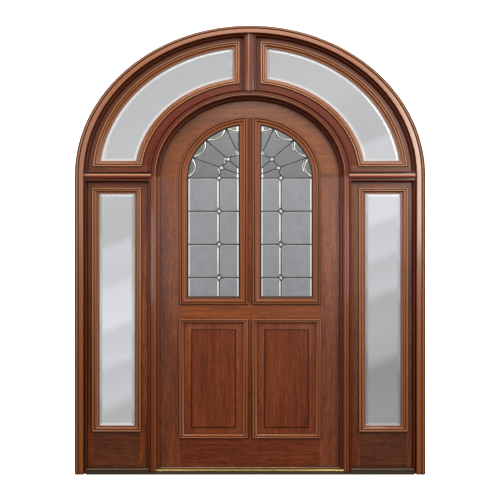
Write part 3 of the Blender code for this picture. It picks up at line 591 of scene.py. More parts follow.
def casingSection():
    c = casing
    width = unit["casingOuter"] - unit["casingInner"]
    bead = c["bandWidth"] + c["beadWidth"]
    flat = bead + c["quirkWidth"]
    section = [(0, c["back"]), (0, c["bandSide"]), (1, c["bandFoot"]), (c["bandWidth"], c["bandTop"])]
    section += bump(c["bandWidth"], bead, c["beadFoot"], c["beadFoot"] - c["beadCrest"], 8)[1:]
    section += [(bead + 0.5, c["quirkFloor"]), (flat - 0.5, c["quirkFloor"])]
    section += [(flat, c["face"] + 1), (flat + 1, c["face"]), (width - 3.6, c["face"]), (width - 3, c["face"])]
    section += [(width - 1.2, c["face"] + 0.6), (width, c["face"] + 2.5), (width, c["back"])]
    return section


def makeCasing():
    section, outer = casingSection(), unit["casingOuter"]
    surfaces = ["casingSwept", "highlightSwept", "shadeSwept", "shadedHeadSwept"]
    # painted shade: the back band is near black round the arch and red down the legs, and the bead is redder
    # and darker than the flat
    band, bead = (1, 2), {k: 3 for k in range(3, 13)}
    frameWood("casingArch", outward(halfRound(outer)), section, surfaces, "casing",
              slotOf=highlightSlot(section, casing["paintedHighlight"], {k: 2 for k in band} | bead))
    for side, word in bothSides:
        leg = mirroredShape(along([(outer, drawn(0)), (outer, -unit["springJoint"])]), side)
        frameWood(f"casing{word.title()}Leg", leg, section, surfaces, "casing",
                  slotOf=highlightSlot(section, casing["paintedHighlight"], {k: 3 for k in band} | bead))


jamb = {"thickness": 32, "beadWidth": 10, "beadProud": 8, "quirkDepth": 5, "reveal": 15}


def jambSection():
    j, front = jamb, unit["front"]
    quirk = front + j["quirkDepth"]
    return [(0, unit["back"]), (0, front), (j["beadWidth"], front), (j["beadWidth"] + 0.5, quirk),
            (j["reveal"], quirk), (j["reveal"] + 0.5, front), (j["thickness"], front),
            (j["thickness"], unit["back"])]


def makeJambs():
    inner = unit["jambInner"]
    frameWood("archJamb", halfRound(inner), jambSection(), ["frameSwept"], "arch_jamb")
    for side, word in bothSides:
        leg = mirroredShape(outward(along([(inner, drawn(0)), (inner, -unit["springJoint"])])), side)
        frameWood(f"jamb{word.title()}", leg, jambSection(), ["frameSwept"], f"{word}_jamb")


# posts and arched head round the doorway, each with its stop, a proud ridge and two quirks
mull = {
    "stopFront": -20, "stopGap": 0.3, "foot": 12.3,
    "filletWidth": 4, "ridgeWidth": 8, "ridgeProud": 7.5, "ridgeQuirk": 2,
    "highlightShare": 0.72,  # the ridge takes a painted highlight above this share of its height
    "quirkWidth": 3, "quirkDepth": 4,
}


def mullSection():
    m, rebate, outer = mull, unit["rebate"] - unit["stopInner"], unit["mullOuter"] - unit["stopInner"]
    front, back, stopBack = unit["front"], unit["back"], unit["leafFront"] - m["stopGap"]
    ridge = rebate + m["filletWidth"]
    ridgeEnd, quirk = ridge + m["ridgeWidth"], m["ridgeQuirk"]
    bead, deep = outer - jamb["beadWidth"], front + m["quirkDepth"]
    section = [(0, stopBack), (0, m["stopFront"] + 1.5), (0.5, m["stopFront"] + 0.4), (1.5, m["stopFront"])]
    section += [(rebate, m["stopFront"]), (rebate, front + 1.5), (rebate + 1, front), (ridge, front)]
    section += bump(ridge, ridgeEnd, front, m["ridgeProud"], 8)[1:]
    section += [(ridgeEnd + 0.5, front + quirk), (ridgeEnd + quirk, front + quirk)]
    section += [(ridgeEnd + quirk + 0.5, front)]
    section += [(bead - m["quirkWidth"], front), (bead - m["quirkWidth"] + 0.5, deep), (bead, deep)]
    section += [(bead + 0.5, front), (outer, front), (outer, back), (rebate, back), (rebate, stopBack)]
    return section


def makeMulls():
    inner, section = unit["stopInner"], mullSection()
    # the front of each ridge takes the painted highlight
    highlights = highlightSlot(section, unit["front"] - mull["highlightShare"] * mull["ridgeProud"])
    frameWood("innerArchHead", halfRound(inner), section, ["shadedHeadSwept", "highlightSwept"], "inner_arch_head",
              slotOf=highlights)
    for side, word in bothSides:
        line = along([(inner, drawn(mull["foot"])), (inner, -unit["springJoint"])])
        post = mirroredShape(outward(line), side)
        frameWood(f"mullPost{word.title()}", post, section, ["frameSwept", "highlightSwept"], f"{word}_mull_post",
                  slotOf=highlights)


# transom bars and crown mullion, each with a raised strip along its middle
mullion = {"stripHalf": 13, "stripFront": -70, "slopeWidth": 10, "quirkDepth": 4, "stripLap": 13}


def mullionSection():
    half, front, deep = unit["mullionHalf"], unit["front"], unit["front"] + mullion["quirkDepth"]
    bead, strip = half - jamb["beadWidth"], mullion["stripHalf"]
    side = [(half, unit["back"]), (half, front), (bead, front), (bead - 0.5, deep), (strip + 0.5, deep),
            (strip, front)]
    return side + [(-d, y) for d, y in reversed(side)]


def stripSection(turned):
    half, front, base = mullion["stripHalf"], mullion["stripFront"], unit["front"] + 3
    section = [(half, base), (half, front + 2.6), (half - 0.8, front + 1.6)]
    section += [(half - mullion["slopeWidth"], front), (2 - half, front), (0.6 - half, front + 0.6)]
    section += [(-half, front + 2), (-half, base)]
    return [(-d, y) for d, y in reversed(section)] if turned else section


def makeStrip(name, line, turned, litSlopeSurface):
    # painted highlight: the sloping side looks up, or to the left, and takes a paler material
    slope = (4, 5) if turned else (1, 2)
    frameWood(name, line, stripSection(turned), ["shadedHeadSwept", litSlopeSurface], slotOf=lambda k: int(k in slope))


def makeMullions():
    inner, outer, lap = unit["mullOuter"], unit["jambInner"], mullion["stripLap"]
    for side, word in bothSides:
        bar = along([(side * (inner + 0.4), 0), (side * (outer - 0.4), 0)])
        frameWood(f"transomBar{word.title()}", bar, mullionSection(), ["frameSwept"], f"{word}_transom_bar")
        strip = along([(side * (inner - lap), 0), (side * (unit["casingInner"] - 0.3), 0)])
        makeStrip(f"transomStrip{word.title()}", strip, strip(1)[0][1] < 0, "highlightSwept")
    crown = along([(0, inner - 3), (0, outer + 1)])
    frameWood("crownMullion", crown, mullionSection(), ["frameSwept"], "crown_mullion")
    strip = along([(0, inner - lap), (0, unit["casingInner"] + 0.5)])
    makeStrip("crownStrip", strip, strip(1)[0][0] > 0, "casingSwept")


# each opening has a near black fillet of painted shade in the gap round its sash, and a bead round its front
# edge
gapShade = {"front": -18, "back": -4, "near": 0.1, "far": 1.9}


def lineOpenings(name, section, surface, foot, turn=lambda shape: shape):
    outer, inner, half = unit["jambInner"], unit["mullOuter"], unit["mullionHalf"]
    ring = turn(ringShape(outer, inner, half, half))
    sides = turn(along([(outer, foot), (outer, -half), (inner, -half), (inner, foot)]))
    for side, word in bothSides:
        frameWood(f"transom{name}{word.title()}", mirroredShape(ring, side), section, [surface], closed=True)
        frameWood(f"sidelight{name}{word.title()}", mirroredShape(sides, side), section, [surface])


def makeGapShade():
    b = gapShade
    section = [(b["near"], b["back"]), (b["near"], b["front"]), (b["far"], b["front"]), (b["far"], b["back"])]
    lineOpenings("Bedding", section, "shadeSwept", drawn(unit["riserTop"] + 1))


def makeBeads():
    front, width = unit["front"], jamb["beadWidth"]
    section = [(0, front + 2)] + bump(0, width, front, jamb["beadProud"], 8) + [(width, front + 2)]
    lineOpenings("Bead", section, "shadedHeadSwept", drawn(unit["riserTop"]), outward)


makeCasing()
makeGapShade()
makeJambs()
makeMulls()
makeMullions()
makeBeads()
print("outer frame made")


# The fixed sashes: two sidelights and the two halves of the transom.
sash = {
    "clearance": 2, "foot": 31,
    "outerStile": 33, "innerStile": 51.5, "crownStile": 30.5,
    "footRail": 33.5, "topRail": 38.4, "bottomRail": 214,
    "sight": 32,  # from the edge of the opening in the stiles to the visible glass
    "drop": 5.5,  # how far behind the stile the moulding ends at the glass
    "paintedHighlight": 9.3,  # the outer bead takes a painted highlight further forward than this
    "glassFront": 16, "glassBack": 26, "edge": 6.8, "bevelWidth": 17, "bevelDepth": 3.5,
}
# a moulding laps over the stile by its lip, stands off it by the cover and holds the pane in a groove
moulding = {"lip": 8, "cover": 0.3, "grooveFloor": 6}


def glazingSection(front, back, sight, drop, grooveFront, grooveBack):
    # from the stile to the glass: bead, ovolo, cove and a small bead; behind the glass, a plain cove
    lip, cover, floor = moulding["lip"], moulding["cover"], moulding["grooveFloor"]
    section = [(cover, front - cover), (-lip, front - cover), (-lip, front - 3.5)]
    section += bump(-lip, 3.5, front - 3.5, 7, 8)[1:]
    section += [(3.9, front - 0.6), (5.2, front - 0.6)]
    ovolo = 5.2 + 0.42 * (sight - 5.2)
    section += bump(5.2, ovolo, front - 2.6, 4.6, 8)
    section += [(ovolo + 0.4, front - 1.6)]
    section += cove((ovolo + 0.6, front - 1.6), (sight - 6, front + drop), 6)
    section += bump(sight - 6, sight, front + drop, 1.8, 6)[1:]
    section += [(sight, grooveFront), (floor, grooveFront), (floor, grooveBack), (sight, grooveBack)]
    section += [(sight, back - 3)] + cove((sight - 2, back - 1), (2, back + 7.5), 5)
    section += [(-6, back + 8), (-lip, back + 6.5), (-lip, back + cover), (cover, back + cover)]
    return section


def bevelSlot(level, edge, corner):
    # painted light: upright bevels take a darker grey as painted shade, level ones a paler grey as painted
    # highlight
    if level != 0:
        return 0
    return 1 if abs(edge[0]) < 1e-6 else 2


def glaze(word, node, shape):
    front, back, sight = unit["sashFront"], unit["sashBack"], sash["sight"]
    near, far = front + sash["glassFront"], front + sash["glassBack"]
    section = glazingSection(front, back, sight, sash["drop"], near - 0.3, far + 0.3)
    frameWood(f"{word}Moulding", shape, section, ["mouldingSwept", "highlightSwept"], f"{node}_moulding",
              closed=True, slotOf=highlightSlot(section, front - sash["paintedHighlight"]))
    wide, deep = sight + sash["bevelWidth"], near + sash["bevelDepth"]
    # the pane is drawn from its front field outward, round its edge and back to the rear field
    layers = [(wide, near), (sight - 4, deep), (sash["edge"], deep), (sash["edge"], far)]
    platePiece(f"{word}Pane", shape, layers, "frame", ["plate", "plateBevelShade", "plateHighlight"], slotOf=bevelSlot,
               replaced=[f"{node}_glass"], slotName="clear_glass", sharp=8)


def archedRail(name, shape, surface, node):
    # a curved rail between two arches, with the grain running round it
    mesh = bmesh.new()
    grain = mesh.loops.layers.uv.verify()
    outline = shape(0)
    rings = [[mesh.verts.new(stand(*p, y)) for p in outline] for y in (unit["sashFront"], unit["sashBack"])]
    count = len(outline)
    for i in range(count):
        j = (i + 1) % count
        mesh.faces.new((rings[0][i], rings[0][j], rings[1][j], rings[1][i]))
    for ring in rings:
        for i in range(count // 2 - 1):
            mesh.faces.new((ring[i], ring[i + 1], ring[count - 2 - i], ring[count - 1 - i]))
    spring, meanRadius = unit["springHeight"] * mm, 0.75
    for face in mesh.faces:
        for loop in face.loops:
            spot = loop.vert.co
            w = (spot.z - spring) / unit["archRise"]
            loop[grain].uv = (math.atan2(w, spot.x) * meanRadius, math.hypot(spot.x, w) + spot.y)
    finishPiece(name, mesh, "frame", [surface], replaced=[node], slotName="frame_mahogany")


def makeSashes():
    gap, half, rise = sash["clearance"], unit["mullionHalf"], unit["archRise"]
    near, far = unit["mullOuter"] + gap, unit["jambInner"] - gap
    foot = drawn(sash["foot"] + sash["bottomRail"])
    head = drawn(unit["springHeight"] - half * rise - gap - sash["topRail"])
    left, right = near + sash["innerStile"], far - sash["outerStile"]
    stile = half + gap + sash["crownStile"]
    rail = half + gap / rise + sash["footRail"] / rise
    for side, word in bothSides:
        glaze(f"{word}Sidelight", f"{word}_sidelight", mirroredShape(boxShape(left, right, foot, head), side))
        glaze(f"{word}Transom", f"{word}_transom", mirroredShape(ringShape(right, left, stile, rail), side))
        archedRail(f"{word}TransomOuterRail", mirroredShape(ringShape(far, right, stile, rail), side),
                   "shadedSashSwept", f"{word}_transom_outer_rail")
        archedRail(f"{word}TransomInnerRail", mirroredShape(ringShape(left, near, stile, rail), side),
                   "shadedHeadSwept", f"{word}_transom_inner_rail")


makeSashes()
print("sashes made")


# The leaf: arched rail, raised panels and leaded lights. Its other rails and stiles are the CAD's own.
leaf = {"panelFoot": 200, "panelHead": 878.5, "lightFoot": 977.5}


def makeArchRail():
    front, back = unit["leafFront"], unit["leafBack"]
    wide = unit["leafHalf"] - unit["leafEdge"]
    section = [(0, back), (0, front), (wide - 1, front), (wide, front + 1), (wide, back - 1), (wide - 1, back)]
    leafWood("leafArchRail", halfRound(unit["leafEdge"]), section, ["leafArch"], "leaf_arch_rail")


panel = {
    "sight": 20.5,
    "tongueFront": 24.75, "tongueBack": 36.75, "tongueGap": 0.3,
    "slopeWidth": 41, "slopeRise": 4.6,
    "quirkWidth": 6, "quirkDepth": 4.2,
    "fieldFront": 17.4, "fieldBack": 44.1,
}


def panelSection(front, back, sight):
    # from the stile to the panel: bead, astragal and cove, then the groove and a plain cove at the back
    lip, cover, floor = moulding["lip"], moulding["cover"], moulding["grooveFloor"]
    grooveFront = panel["tongueFront"] - panel["tongueGap"]
    grooveBack = panel["tongueBack"] + panel["tongueGap"]
    section = [(cover, front - cover), (-lip, front - cover), (-lip, front - 3)]
    section += bump(-lip, 2.5, front - 3, 7.5, 8)[1:]
    section += [(3, front - 1.2), (4.5, front - 1.2)]
    section += bump(4.5, 12, front - 1.4, 3, 6)[1:]
    section += cove((12.5, front - 0.6), (sight, front + 6), 6)
    section += [(sight, grooveFront), (floor, grooveFront), (floor, grooveBack), (sight, grooveBack)]
    section += [(sight, back - 8)] + cove((sight - 1, back - 7), (3, back + 5), 5)
    section += [(-6, back + 6.3), (-lip, back + 5), (-lip, back + cover), (cover, back + cover)]
    return section


def makePanels():
    p, half, edge = panel, unit["muntinHalf"], unit["leafEdge"]
    foot, head, sight = drawn(leaf["panelFoot"]), drawn(leaf["panelHead"]), panel["sight"]
    slope = sight + p["slopeWidth"]
    field = slope + p["quirkWidth"]
    front, back, rise = p["tongueFront"], p["tongueBack"], p["slopeRise"]
    quirk = front - rise + p["quirkDepth"]
    layers = [(field + 0.8, p["fieldFront"]), (field, p["fieldFront"] + 0.8), (field - 0.3, quirk),
              (slope + 0.4, quirk), (slope, front - rise), (sight - 2, front), (sash["edge"], front),
              (sash["edge"], back), (sight - 2, back), (slope, back + rise), (field, p["fieldBack"] - 0.8),
              (field + 0.8, p["fieldBack"])]
    section = panelSection(unit["leafFront"], unit["leafBack"], sight)
    for side, word in bothSides:
        shape = mirroredShape(boxShape(half, edge, foot, head), side)
        leafWood(f"{word}PanelMoulding", shape, section, ["panelMoulding"], f"{word}_panel_moulding",
                 closed=True)
        # the slope round the field stands between the fifth and the sixth layer
        platePiece(f"{word}RaisedPanel", shape, layers, "leaf", ["panelUpright", "panelSlope"],
                   slotOf=lambda level, edge, corner: int(level == 4), replaced=[f"{word}_raised_panel"],
                   slotName="panel_mahogany", sharp=20)


# Leaded lights. Panes are cut to the lines of the cames, half of which belongs to each pane. Level
# panes stand in rows below the spring, and a fan of petals, stars and lenses turns above it.
cames = {
    "sight": 37.5, "drop": 1.6,  # of the wood round the light
    "front": 7.3, "thickness": 4.4, "halfWidth": 3, "crown": 1.3, "borderWidth": 8.7, "borderLap": 6,
    "upright": 180,  # from the middle of the door to the upright came, and the radius of the ring of stars
    "levelPitch": 193, "levels": 4,
    "fanStep": 22.5,  # degrees
    "starReach": 23, "starScoop": 0.22, "scallop": 33, "petalBow": 0.55,
}
# each pane has a flat field, sunk behind the crown of the came, and a ground bevel that rises to its rim;
# curved panes shrink toward their middle at a pace that keeps their corners apart
panes = {
    "sunk": 1.6, "rise": 1.6, "rim": 2, "lift": 0.2,
    "field": {"tile": 8, "petal": 8, "star": 6, "lens": 5.5},
    "pace": {"petal": 1.6, "lens": 3.0},
    "backing": 12, "gap": 0.3,
}
paneSurfaces = ["tile", "tileHighlight", "tileEdge", "lens", "petal", "star"]


def polar(radius, degrees):
    return (radius * math.cos(math.radians(degrees)), radius * math.sin(math.radians(degrees)))


def scallopArc(radius, low, steps=8):
    (ax, ay), (bx, by) = polar(radius, low), polar(radius, low + cames["fanStep"])
    ux, uy = polar(1, low + cames["fanStep"] / 2)
    points = []
    for i in range(steps + 1):
        share = i / steps
        dip = cames["scallop"] * 4 * share * (1 - share)
        points.append((ax + share * (bx - ax) - dip * ux, ay + share * (by - ay) - dip * uy))
    return points


def clipped(outline, near):
    result = []
    for here, after in zip(outline, outline[1:] + outline[:1]):
        if here[0] >= near:
            result.append(here)
        if (here[0] - near) * (after[0] - near) < 0:
            share = (near - here[0]) / (after[0] - here[0])
            result.append((near, here[1] + share * (after[1] - here[1])))
    return result


def curved(start, middle, end, steps=4):
    spots = [i / steps for i in range(steps + 1)]
    return [tuple((1 - t) ** 2 * a + 2 * t * (1 - t) * b + t * t * c for a, b, c in zip(start, middle, end))
            for t in spots]


def scooped(centre, start, end):
    middle = tuple(c + cames["starScoop"] * (a - c + b - c) for a, b, c in zip(start, end, centre))
    return curved(start, middle, end)


def starAt(centre, turn):
    tips = [polar(cames["starReach"], turn + 90 * i) for i in range(4)]
    tips = [(centre[0] + x, centre[1] + y) for x, y in tips]
    outline = []
    for a, b in zip(tips, tips[1:] + tips[:1]):
        outline += scooped(centre, a, b)[:-1]
    return outline


def levelPanes(near, far, foot):
    c, rise = cames, unit["archRise"]
    x, d = c["upright"], c["starReach"]
    levels = [-i * c["levelPitch"] / rise for i in range(c["levels"])] + [foot]
    made = []
    for i, (top, bottom) in enumerate(zip(levels, levels[1:])):
        last = i == c["levels"] - 1
        leftLow = [(x, bottom)] if last else scooped((x, bottom), (x - d, bottom), (x, bottom + d))
        rightLow = [(x, bottom)] if last else scooped((x, bottom), (x, bottom + d), (x + d, bottom))
        leftTop, rightTop = ((x, top - d), (x - d, top)), ((x + d, top), (x, top - d))
        made.append(("tile", [(near, bottom)] + leftLow + scooped((x, top), *leftTop) + [(near, top)]))
        made.append(("tile", rightLow + [(far, bottom), (far, top)] + scooped((x, top), *rightTop)))
        made.append(("star", starAt((x, top), 0)))
    return made


def fanPanes(near, far):
    ring, reach, step = cames["upright"], cames["starReach"], cames["fanStep"]
    made = []
    for k in range(4):
        low, high = k * step, (k + 1) * step
        dip = scallopArc(far, low)
        made.append(("lens", clipped(arcPoints(far, low, high) + dip[-2:0:-1], near)))
        tipLow, tipHigh = polar(ring, low), polar(ring, high)
        innerLow = tuple(a + reach * b for a, b in zip(tipLow, polar(1, low + 90)))
        innerHigh = tuple(a + reach * b for a, b in zip(tipHigh, polar(1, high - 90)))
        bow = curved(innerHigh, polar(ring - cames["petalBow"] * reach, low + step / 2), innerLow)
        petal = bow[1:-1] + scooped(tipLow, innerLow, polar(ring + reach, low)) + dip
        petal += scooped(tipHigh, polar(ring + reach, high), innerHigh)
        made.append(("petal", clipped(petal, near)))
        if k < 3:
            core = [polar(near / 4, low)] + scooped(tipLow, polar(ring - reach, low), innerLow) + bow[-2:0:-1]
            core += scooped(tipHigh, innerHigh, polar(ring - reach, high)) + [polar(near / 4, high)]
            made.append(("petal", clipped(core, near)))
        if 0 < k < 3:
            made.append(("star", starAt(tipLow, low)))
    return made


def paneSlot(kind, left):
    # painted highlight: bevels that run upright at the right of a pane, or at the light's left border, and all
    # bevels of the lenses take the white bevel colour
    flat, steep, shortest = paneSurfaces.index(kind), 0.93, 6

    def slotOf(level, edge, corner):
        if level != 0 or kind == "star":
            return flat
        if kind == "lens":
            return 1
        length = math.hypot(*edge)
        atRight = edge[1] > steep * length
        atLeft = edge[1] < -steep * length and corner[0] < left + 1
        return 1 if length > shortest and (atRight or atLeft) else 2
    return slotOf


def makeLeadedLights():
    c, half, edge, sight = cames, unit["muntinHalf"], unit["leafEdge"], cames["sight"]
    front = unit["leafFront"] + c["front"]
    middle = front + c["thickness"]
    back = middle + panes["gap"] + panes["backing"]
    foot = drawn(leaf["lightFoot"])
    wood = glazingSection(unit["leafFront"], unit["leafBack"], sight, c["drop"], front - 0.3, back + 0.3)
    border = sight + c["borderWidth"] - c["halfWidth"]
    near, far = half + border, edge - border
    cut = levelPanes(near, far, foot + border) + fanPanes(near, far)
    h, lap = c["halfWidth"], sight - c["borderLap"]
    cameSection = [(0, front), (h * 0.5, front + 0.3), (h, front + c["crown"]), (h, middle), (0, middle)]
    borderSection = [(lap, front + 0.6), (sight, front + 0.4), (border - 1, front), (border, front),
                     (border, middle), (lap, middle)]
    sunk, raised = front + panes["sunk"], front + panes["sunk"] + panes["rise"]
    for side, word in bothSides:
        placed = mirroredShape(archedShape(edge, half, foot), side)
        leafWood(f"{word}LightMoulding", placed, wood, ["leafMoulding"], f"{word}_lite_moulding", closed=True)
        lattice, tiles = bmesh.new(), bmesh.new()
        sweepInto(lattice, word, placed, borderSection, True)
        for kind, outline in cut:
            pane = mirrored(outline, side)
            sweepInto(lattice, word, along(pane, True), cameSection, True)
            layers = [(panes["field"][kind], sunk), (panes["rim"], raised),
                      (panes["rim"], middle - panes["lift"])]
            pace = panes["pace"].get(kind)
            shape = shrinking(pane, pace) if pace else along(pane, True)
            addPlate(tiles, shape, layers, paneSlot(kind, near if side > 0 else -far))
        finishPiece(f"{word}LeadCames", lattice, "leaf", ["lead"], replaced=[f"{word}_lead_cames"],
                    slotName="lead_came")
        finishPiece(f"{word}BevelledTiles", tiles, "leaf", paneSurfaces, slotName="leaded_glass", sharp=8)
        backing = [(sash["edge"], middle + panes["gap"]), (sash["edge"], back)]
        platePiece(f"{word}BackingPane", placed, backing, "leaf", ["plate"],
                   replaced=[f"{word}_leaded_glass"], slotName="leaded_glass", sharp=8)


makeArchRail()
makePanels()
makeLeadedLights()
print("leaf made")


# The nodes that the CAD makes well enough are kept and only dressed.
carried = {
    "shadedSashUpright": [f"{s}_sidelight_{p}_stile" for s in ("left", "right") for p in ("inner", "outer")],
    "shadedHeadUpright": [f"{s}_transom_crown_stile" for s in ("left", "right")],
    "shadedSashLevel": [f"{s}_{p}_rail" for s in ("left", "right") for p in ("sidelight_top", "transom_foot")],
    # the threshold cap takes the pale colour of the painted highlights
    "paleLevel": ["threshold_cap"],
    "frameLow": ["left_sidelight_bottom_rail", "right_sidelight_bottom_rail"],
    "leafUpright": ["leaf_left_stile", "leaf_right_stile"],
    "muntin": ["leaf_upper_muntin", "leaf_lower_muntin"],
    "leafLevel": ["leaf_lock_rail"],
    "leafBottom": ["leaf_bottom_rail"],
    "bronze": ["sill"],
    "brass": ["threshold"] + [f"hinge_{n}_{h}_half" for n in (1, 2, 3) for h in ("frame", "leaf")],
}
for surface, names in carried.items():
    for name in names:
        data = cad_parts[name].data
        data.materials.clear()
        data.materials.append(materials[surface])

# thin varnished strips: one closes the foot of each sidelight, one the gap beside the cap under the leaf; both
# take the pale colour of the painted highlights
footStrip = {"front": -68, "back": -60, "bottom": 26.5, "top": 30.5}
capEnd = {"front": 16, "back": 39, "bottom": 22.4, "top": 28}


def makeLevelStrip(name, strip, near, far):
    middle = drawn((strip["bottom"] + strip["top"]) / 2)
    half = (strip["top"] - strip["bottom"]) / 2 / unit["archRise"]
    front, back = strip["front"], strip["back"]
    section = [(-half, back), (-half, front + 1), (-half + 0.8, front), (half - 0.8, front), (half, front + 1),
               (half, back)]
    frameWood(name, along([(near, middle), (far, middle)]), section, ["highlightSwept"])


for side, word in bothSides:
    makeLevelStrip(f"{word}FootStrip", footStrip, side * (unit["mullOuter"] + 0.5),
                   side * (unit["jambInner"] - 0.5))
    makeLevelStrip(f"{word}CapEnd", capEnd, side * (unit["stopInner"] - 0.3), side * (unit["rebate"] - 0.5))
print("carried nodes dressed")


# Matt paper sweep, pale and blown out to white where the camera sees it. In the glass and the varnish
# it is darker, as a studio wall outside the light is.
studio = {
    "floor": "#F3F2EF", "seenGlow": 0.8,
    "otherPaper": "#3E3936", "otherGlow": 1.12, "glowFoot": 0.3,
    "speckle": 14.0, "roughness": (0.7, 0.85), "specular": 0.1,
    "worldLight": "#F1ECE6", "worldStrength": 0.09, "worldSeen": 1.25, "worldThroughGlass": 0.6,
    "front": -12, "wallFoot": 2.2, "sweepRadius": 1.4, "top": 9, "halfWidth": 14,  # metres
    "depth": 0.001,  # the paper lies this far under the sill
}
# brightness of the wall as the glass shows it, a painted glow along a line that rises to the left: soft
# slanting bands
wallBands = {"slant": -0.4, "from": -1.0, "to": 3.5, "stops": [
    (-0.9, 0.25), (-0.6, 0.28), (-0.42, 0.38), (-0.1, 0.36), (0.0, 0.55), (0.25, 0.6), (0.5, 0.58), (0.6, 0.78),
    (0.85, 0.72), (0.93, 0.88), (1.2, 0.83), (1.28, 1.02), (1.6, 0.98), (1.7, 0.84), (2.0, 0.88), (2.08, 0.7),
    (2.5, 0.72), (2.7, 0.77), (3.4, 0.7)]}


def makeStage():
    s, bands = studio, wallBands
    material, tree = newMaterial("paleStudioPaper")
    place = addNode(tree, "TexCoord")
    speckle = addNode(tree, "TexNoise", {"Scale": s["speckle"], "Detail": 2.0}, {
        "Vector": place.outputs["Object"]})
    rough = addNode(tree, "MapRange", {"To": s["roughness"]}, {"Value": speckle})
    seen = addNode(tree, "BsdfPrincipled", {
        "Base Color": linear(s["floor"]), "Specular IOR Level": s["specular"], "Emission Color": (1, 1, 1, 1),
        "Emission Strength": s["seenGlow"]}, {"Roughness": rough})
    split = addNode(tree, "SeparateXYZ", links={"Vector": place.outputs["Object"]})
    slanted = addNode(tree, "Math", {"operation": "MULTIPLY_ADD", 1: bands["slant"]}, {
        0: split.outputs["X"], 2: split.outputs["Z"]})
    spread = addNode(tree, "MapRange", {"From": (bands["from"], bands["to"])}, {"Value": slanted})
    shades = addNode(tree, "ValToRGB", links={"Fac": spread})
    reach = bands["to"] - bands["from"]
    setRamp(shades, [((at - bands["from"]) / reach, (v, v, v, 1)) for at, v in bands["stops"]])
    glow = addNode(tree, "Math", {"operation": "MULTIPLY", 1: s["otherGlow"]}, {0: shades})
    wall = addNode(tree, "MapRange", {"From Max": s["glowFoot"]}, {"Value": split.outputs["Z"]})
    ray = addNode(tree, "LightPath")
    shown = addNode(tree, "Math", {"operation": "MAXIMUM"}, {
        0: wall, 1: ray.outputs["Is Transmission Ray"]})
    wallGlow = addNode(tree, "Math", {"operation": "MULTIPLY"}, {0: glow, 1: shown})
    other = addNode(tree, "BsdfPrincipled", {
        "Base Color": linear(s["otherPaper"]), "Specular IOR Level": s["specular"],
        "Emission Color": (1, 1, 1, 1)}, {
        "Roughness": rough, "Emission Strength": wallGlow})
    sheet = addNode(tree, "MixShader", links={0: ray.outputs["Is Camera Ray"], 1: other, 2: seen})
    # from behind, the paper lets the camera see the back of the unit
    facing = addNode(tree, "NewGeometry")
    nothing = addNode(tree, "BsdfTransparent")
    shader = addNode(tree, "MixShader", links={0: facing.outputs["Backfacing"], 1: nothing, 2: sheet})
    finishMaterial(tree, shader)
    mesh = bmesh.new()
    turns, radius, foot = [math.pi / 2 * i / 12 for i in range(1, 13)], s["sweepRadius"], s["wallFoot"]
    profile = [(s["front"], -s["depth"]), (foot, -s["depth"])]
    profile += [(foot + radius * math.sin(t), radius - s["depth"] - radius * math.cos(t)) for t in turns]
    profile += [(foot + radius, s["top"])]
    rows = [[mesh.verts.new((x, y, z)) for y, z in profile] for x in (-s["halfWidth"], s["halfWidth"])]
    for i in range(len(profile) - 1):
        mesh.faces.new((rows[0][i], rows[0][i + 1], rows[1][i + 1], rows[1][i]))
    paper = meshObject("studioPaper", mesh, [material])


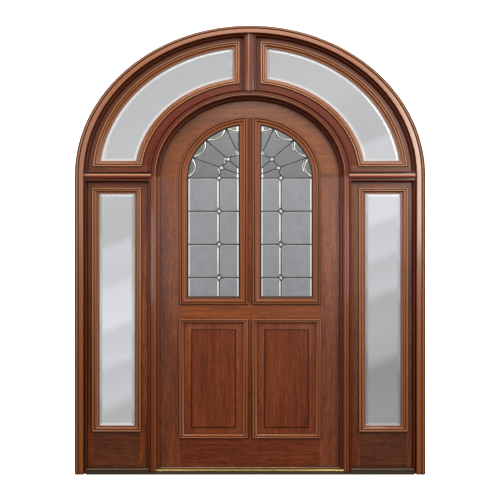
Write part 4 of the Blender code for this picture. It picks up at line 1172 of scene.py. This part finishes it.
# softboxes: place, aim and size in metres, then power in watts and colour
lights = {
    # the shine down the right of the casing and the posts, and its weaker twin on the left
    "keyRight": ((2.54, -5.2, 3.1), (0.3, 0, 1.5), (1.7, 3.1), 200, "#FFF6EC"),
    "fillLeft": ((-2.4, -5.2, 3.1), (-0.3, 0, 1.5), (1.7, 3.1), 28, "#FFF6EC"),
    # soft shine on the upper stiles and on the arched rail of the leaf
    "stileGlowLeft": ((-0.98, -5.3, 1.5), (-0.47, 0, 1.27), (0.3, 1.0), 7, "#FFF8F0"),
    "stileGlowRight": ((0.98, -5.3, 1.5), (0.47, 0, 1.27), (0.3, 1.0), 4.5, "#FFF8F0"),
    "archGlow": ((0.0, -5.3, 3.15), (0, 0, 2.1), (0.8, 0.5), 15, "#FFF8F0"),
    # even light on the wood, from the front, both sides and above
    "frontFill": ((0.0, -5.3, 4.7), (0, 0, 1.7), (3.4, 1.5), 54, "#FFF8F0"),
    "panelLeft": ((-3.4, -1.9, 2.2), (-0.6, 0, 1.8), (2.0, 3.2), 78, "#FFF2E2"),
    "panelRight": ((3.4, -1.7, 2.2), (0.6, 0, 1.8), (2.0, 3.2), 56, "#FFF2E2"),
    "topLight": ((0.0, -1.7, 4.5), (0, 0, 1.6), (3.6, 2.2), 148, "#FFF6EA"),
    # light on the back of the unit and on the wall behind it
    "behindLeft": ((-2.9, 3.1, 3.3), (-0.2, 0, 1.3), (1.4, 2.2), 70, "#FFF6EC"),
    "behindRight": ((2.9, 3.1, 3.3), (0.2, 0, 1.3), (1.4, 2.2), 45, "#FFF6EC"),
    "backWash": ((0.0, 1.6, 4.2), (0, 3.4, 1.2), (5.0, 1.2), 60, "#FFFFFF"),
}


def makeLights():
    for name, (place, aim, size, power, colour) in lights.items():
        data = bpy.data.lights.new(name, "AREA")
        data.shape = "RECTANGLE"
        data.size, data.size_y = size
        data.energy = power
        data.color = linear(colour)[:3]
        lamp = linkedObject(name, data)
        lamp.location = place
        lamp.visible_transmission = False  # no lamp shows through the glass
        lamp.rotation_euler = (Vector(aim) - Vector(place)).to_track_quat("-Z", "Y").to_euler()
    world = bpy.data.worlds.new("studioWorld")
    bpy.context.scene.world = world
    world.use_nodes = True
    tree = world.node_tree
    tree.nodes.clear()
    ray = addNode(tree, "LightPath")
    seen = addNode(tree, "Math", {"operation": "MULTIPLY", 1: studio["worldSeen"]}, {
        0: ray.outputs["Is Camera Ray"]})
    through = addNode(tree, "Math", {"operation": "MULTIPLY_ADD", 1: studio["worldThroughGlass"]}, {
        0: ray.outputs["Is Transmission Ray"], 2: seen})
    strength = addNode(tree, "Math", {"operation": "MAXIMUM", 1: studio["worldStrength"]}, {0: through})
    air = addNode(tree, "Background", {"Color": linear(studio["worldLight"])}, {"Strength": strength})
    addNode(tree, "OutputWorld", links={"Surface": air})


# straight front view in metres, level with the lock rail and shifted up to hold the whole unit
view = {"distance": 5.5, "plane": -0.084, "height": 1.0, "frameWidth": 2.85, "middle": 1.281, "sensor": 36}


def makeCamera():
    data = bpy.data.cameras.new("photoView")
    data.sensor_width = view["sensor"]
    data.lens = view["sensor"] * view["distance"] / view["frameWidth"]
    data.shift_y = (view["middle"] - view["height"]) / view["frameWidth"]
    camera = linkedObject("photoView", data)
    camera.location = (0, view["plane"] - view["distance"], view["height"])
    camera.rotation_euler = (math.pi / 2, 0, 0)
    bpy.context.scene.camera = camera


makeStage()
makeLights()
makeCamera()
bpy.context.scene.view_settings.view_transform = "Standard"
print("stage, lights and camera made")
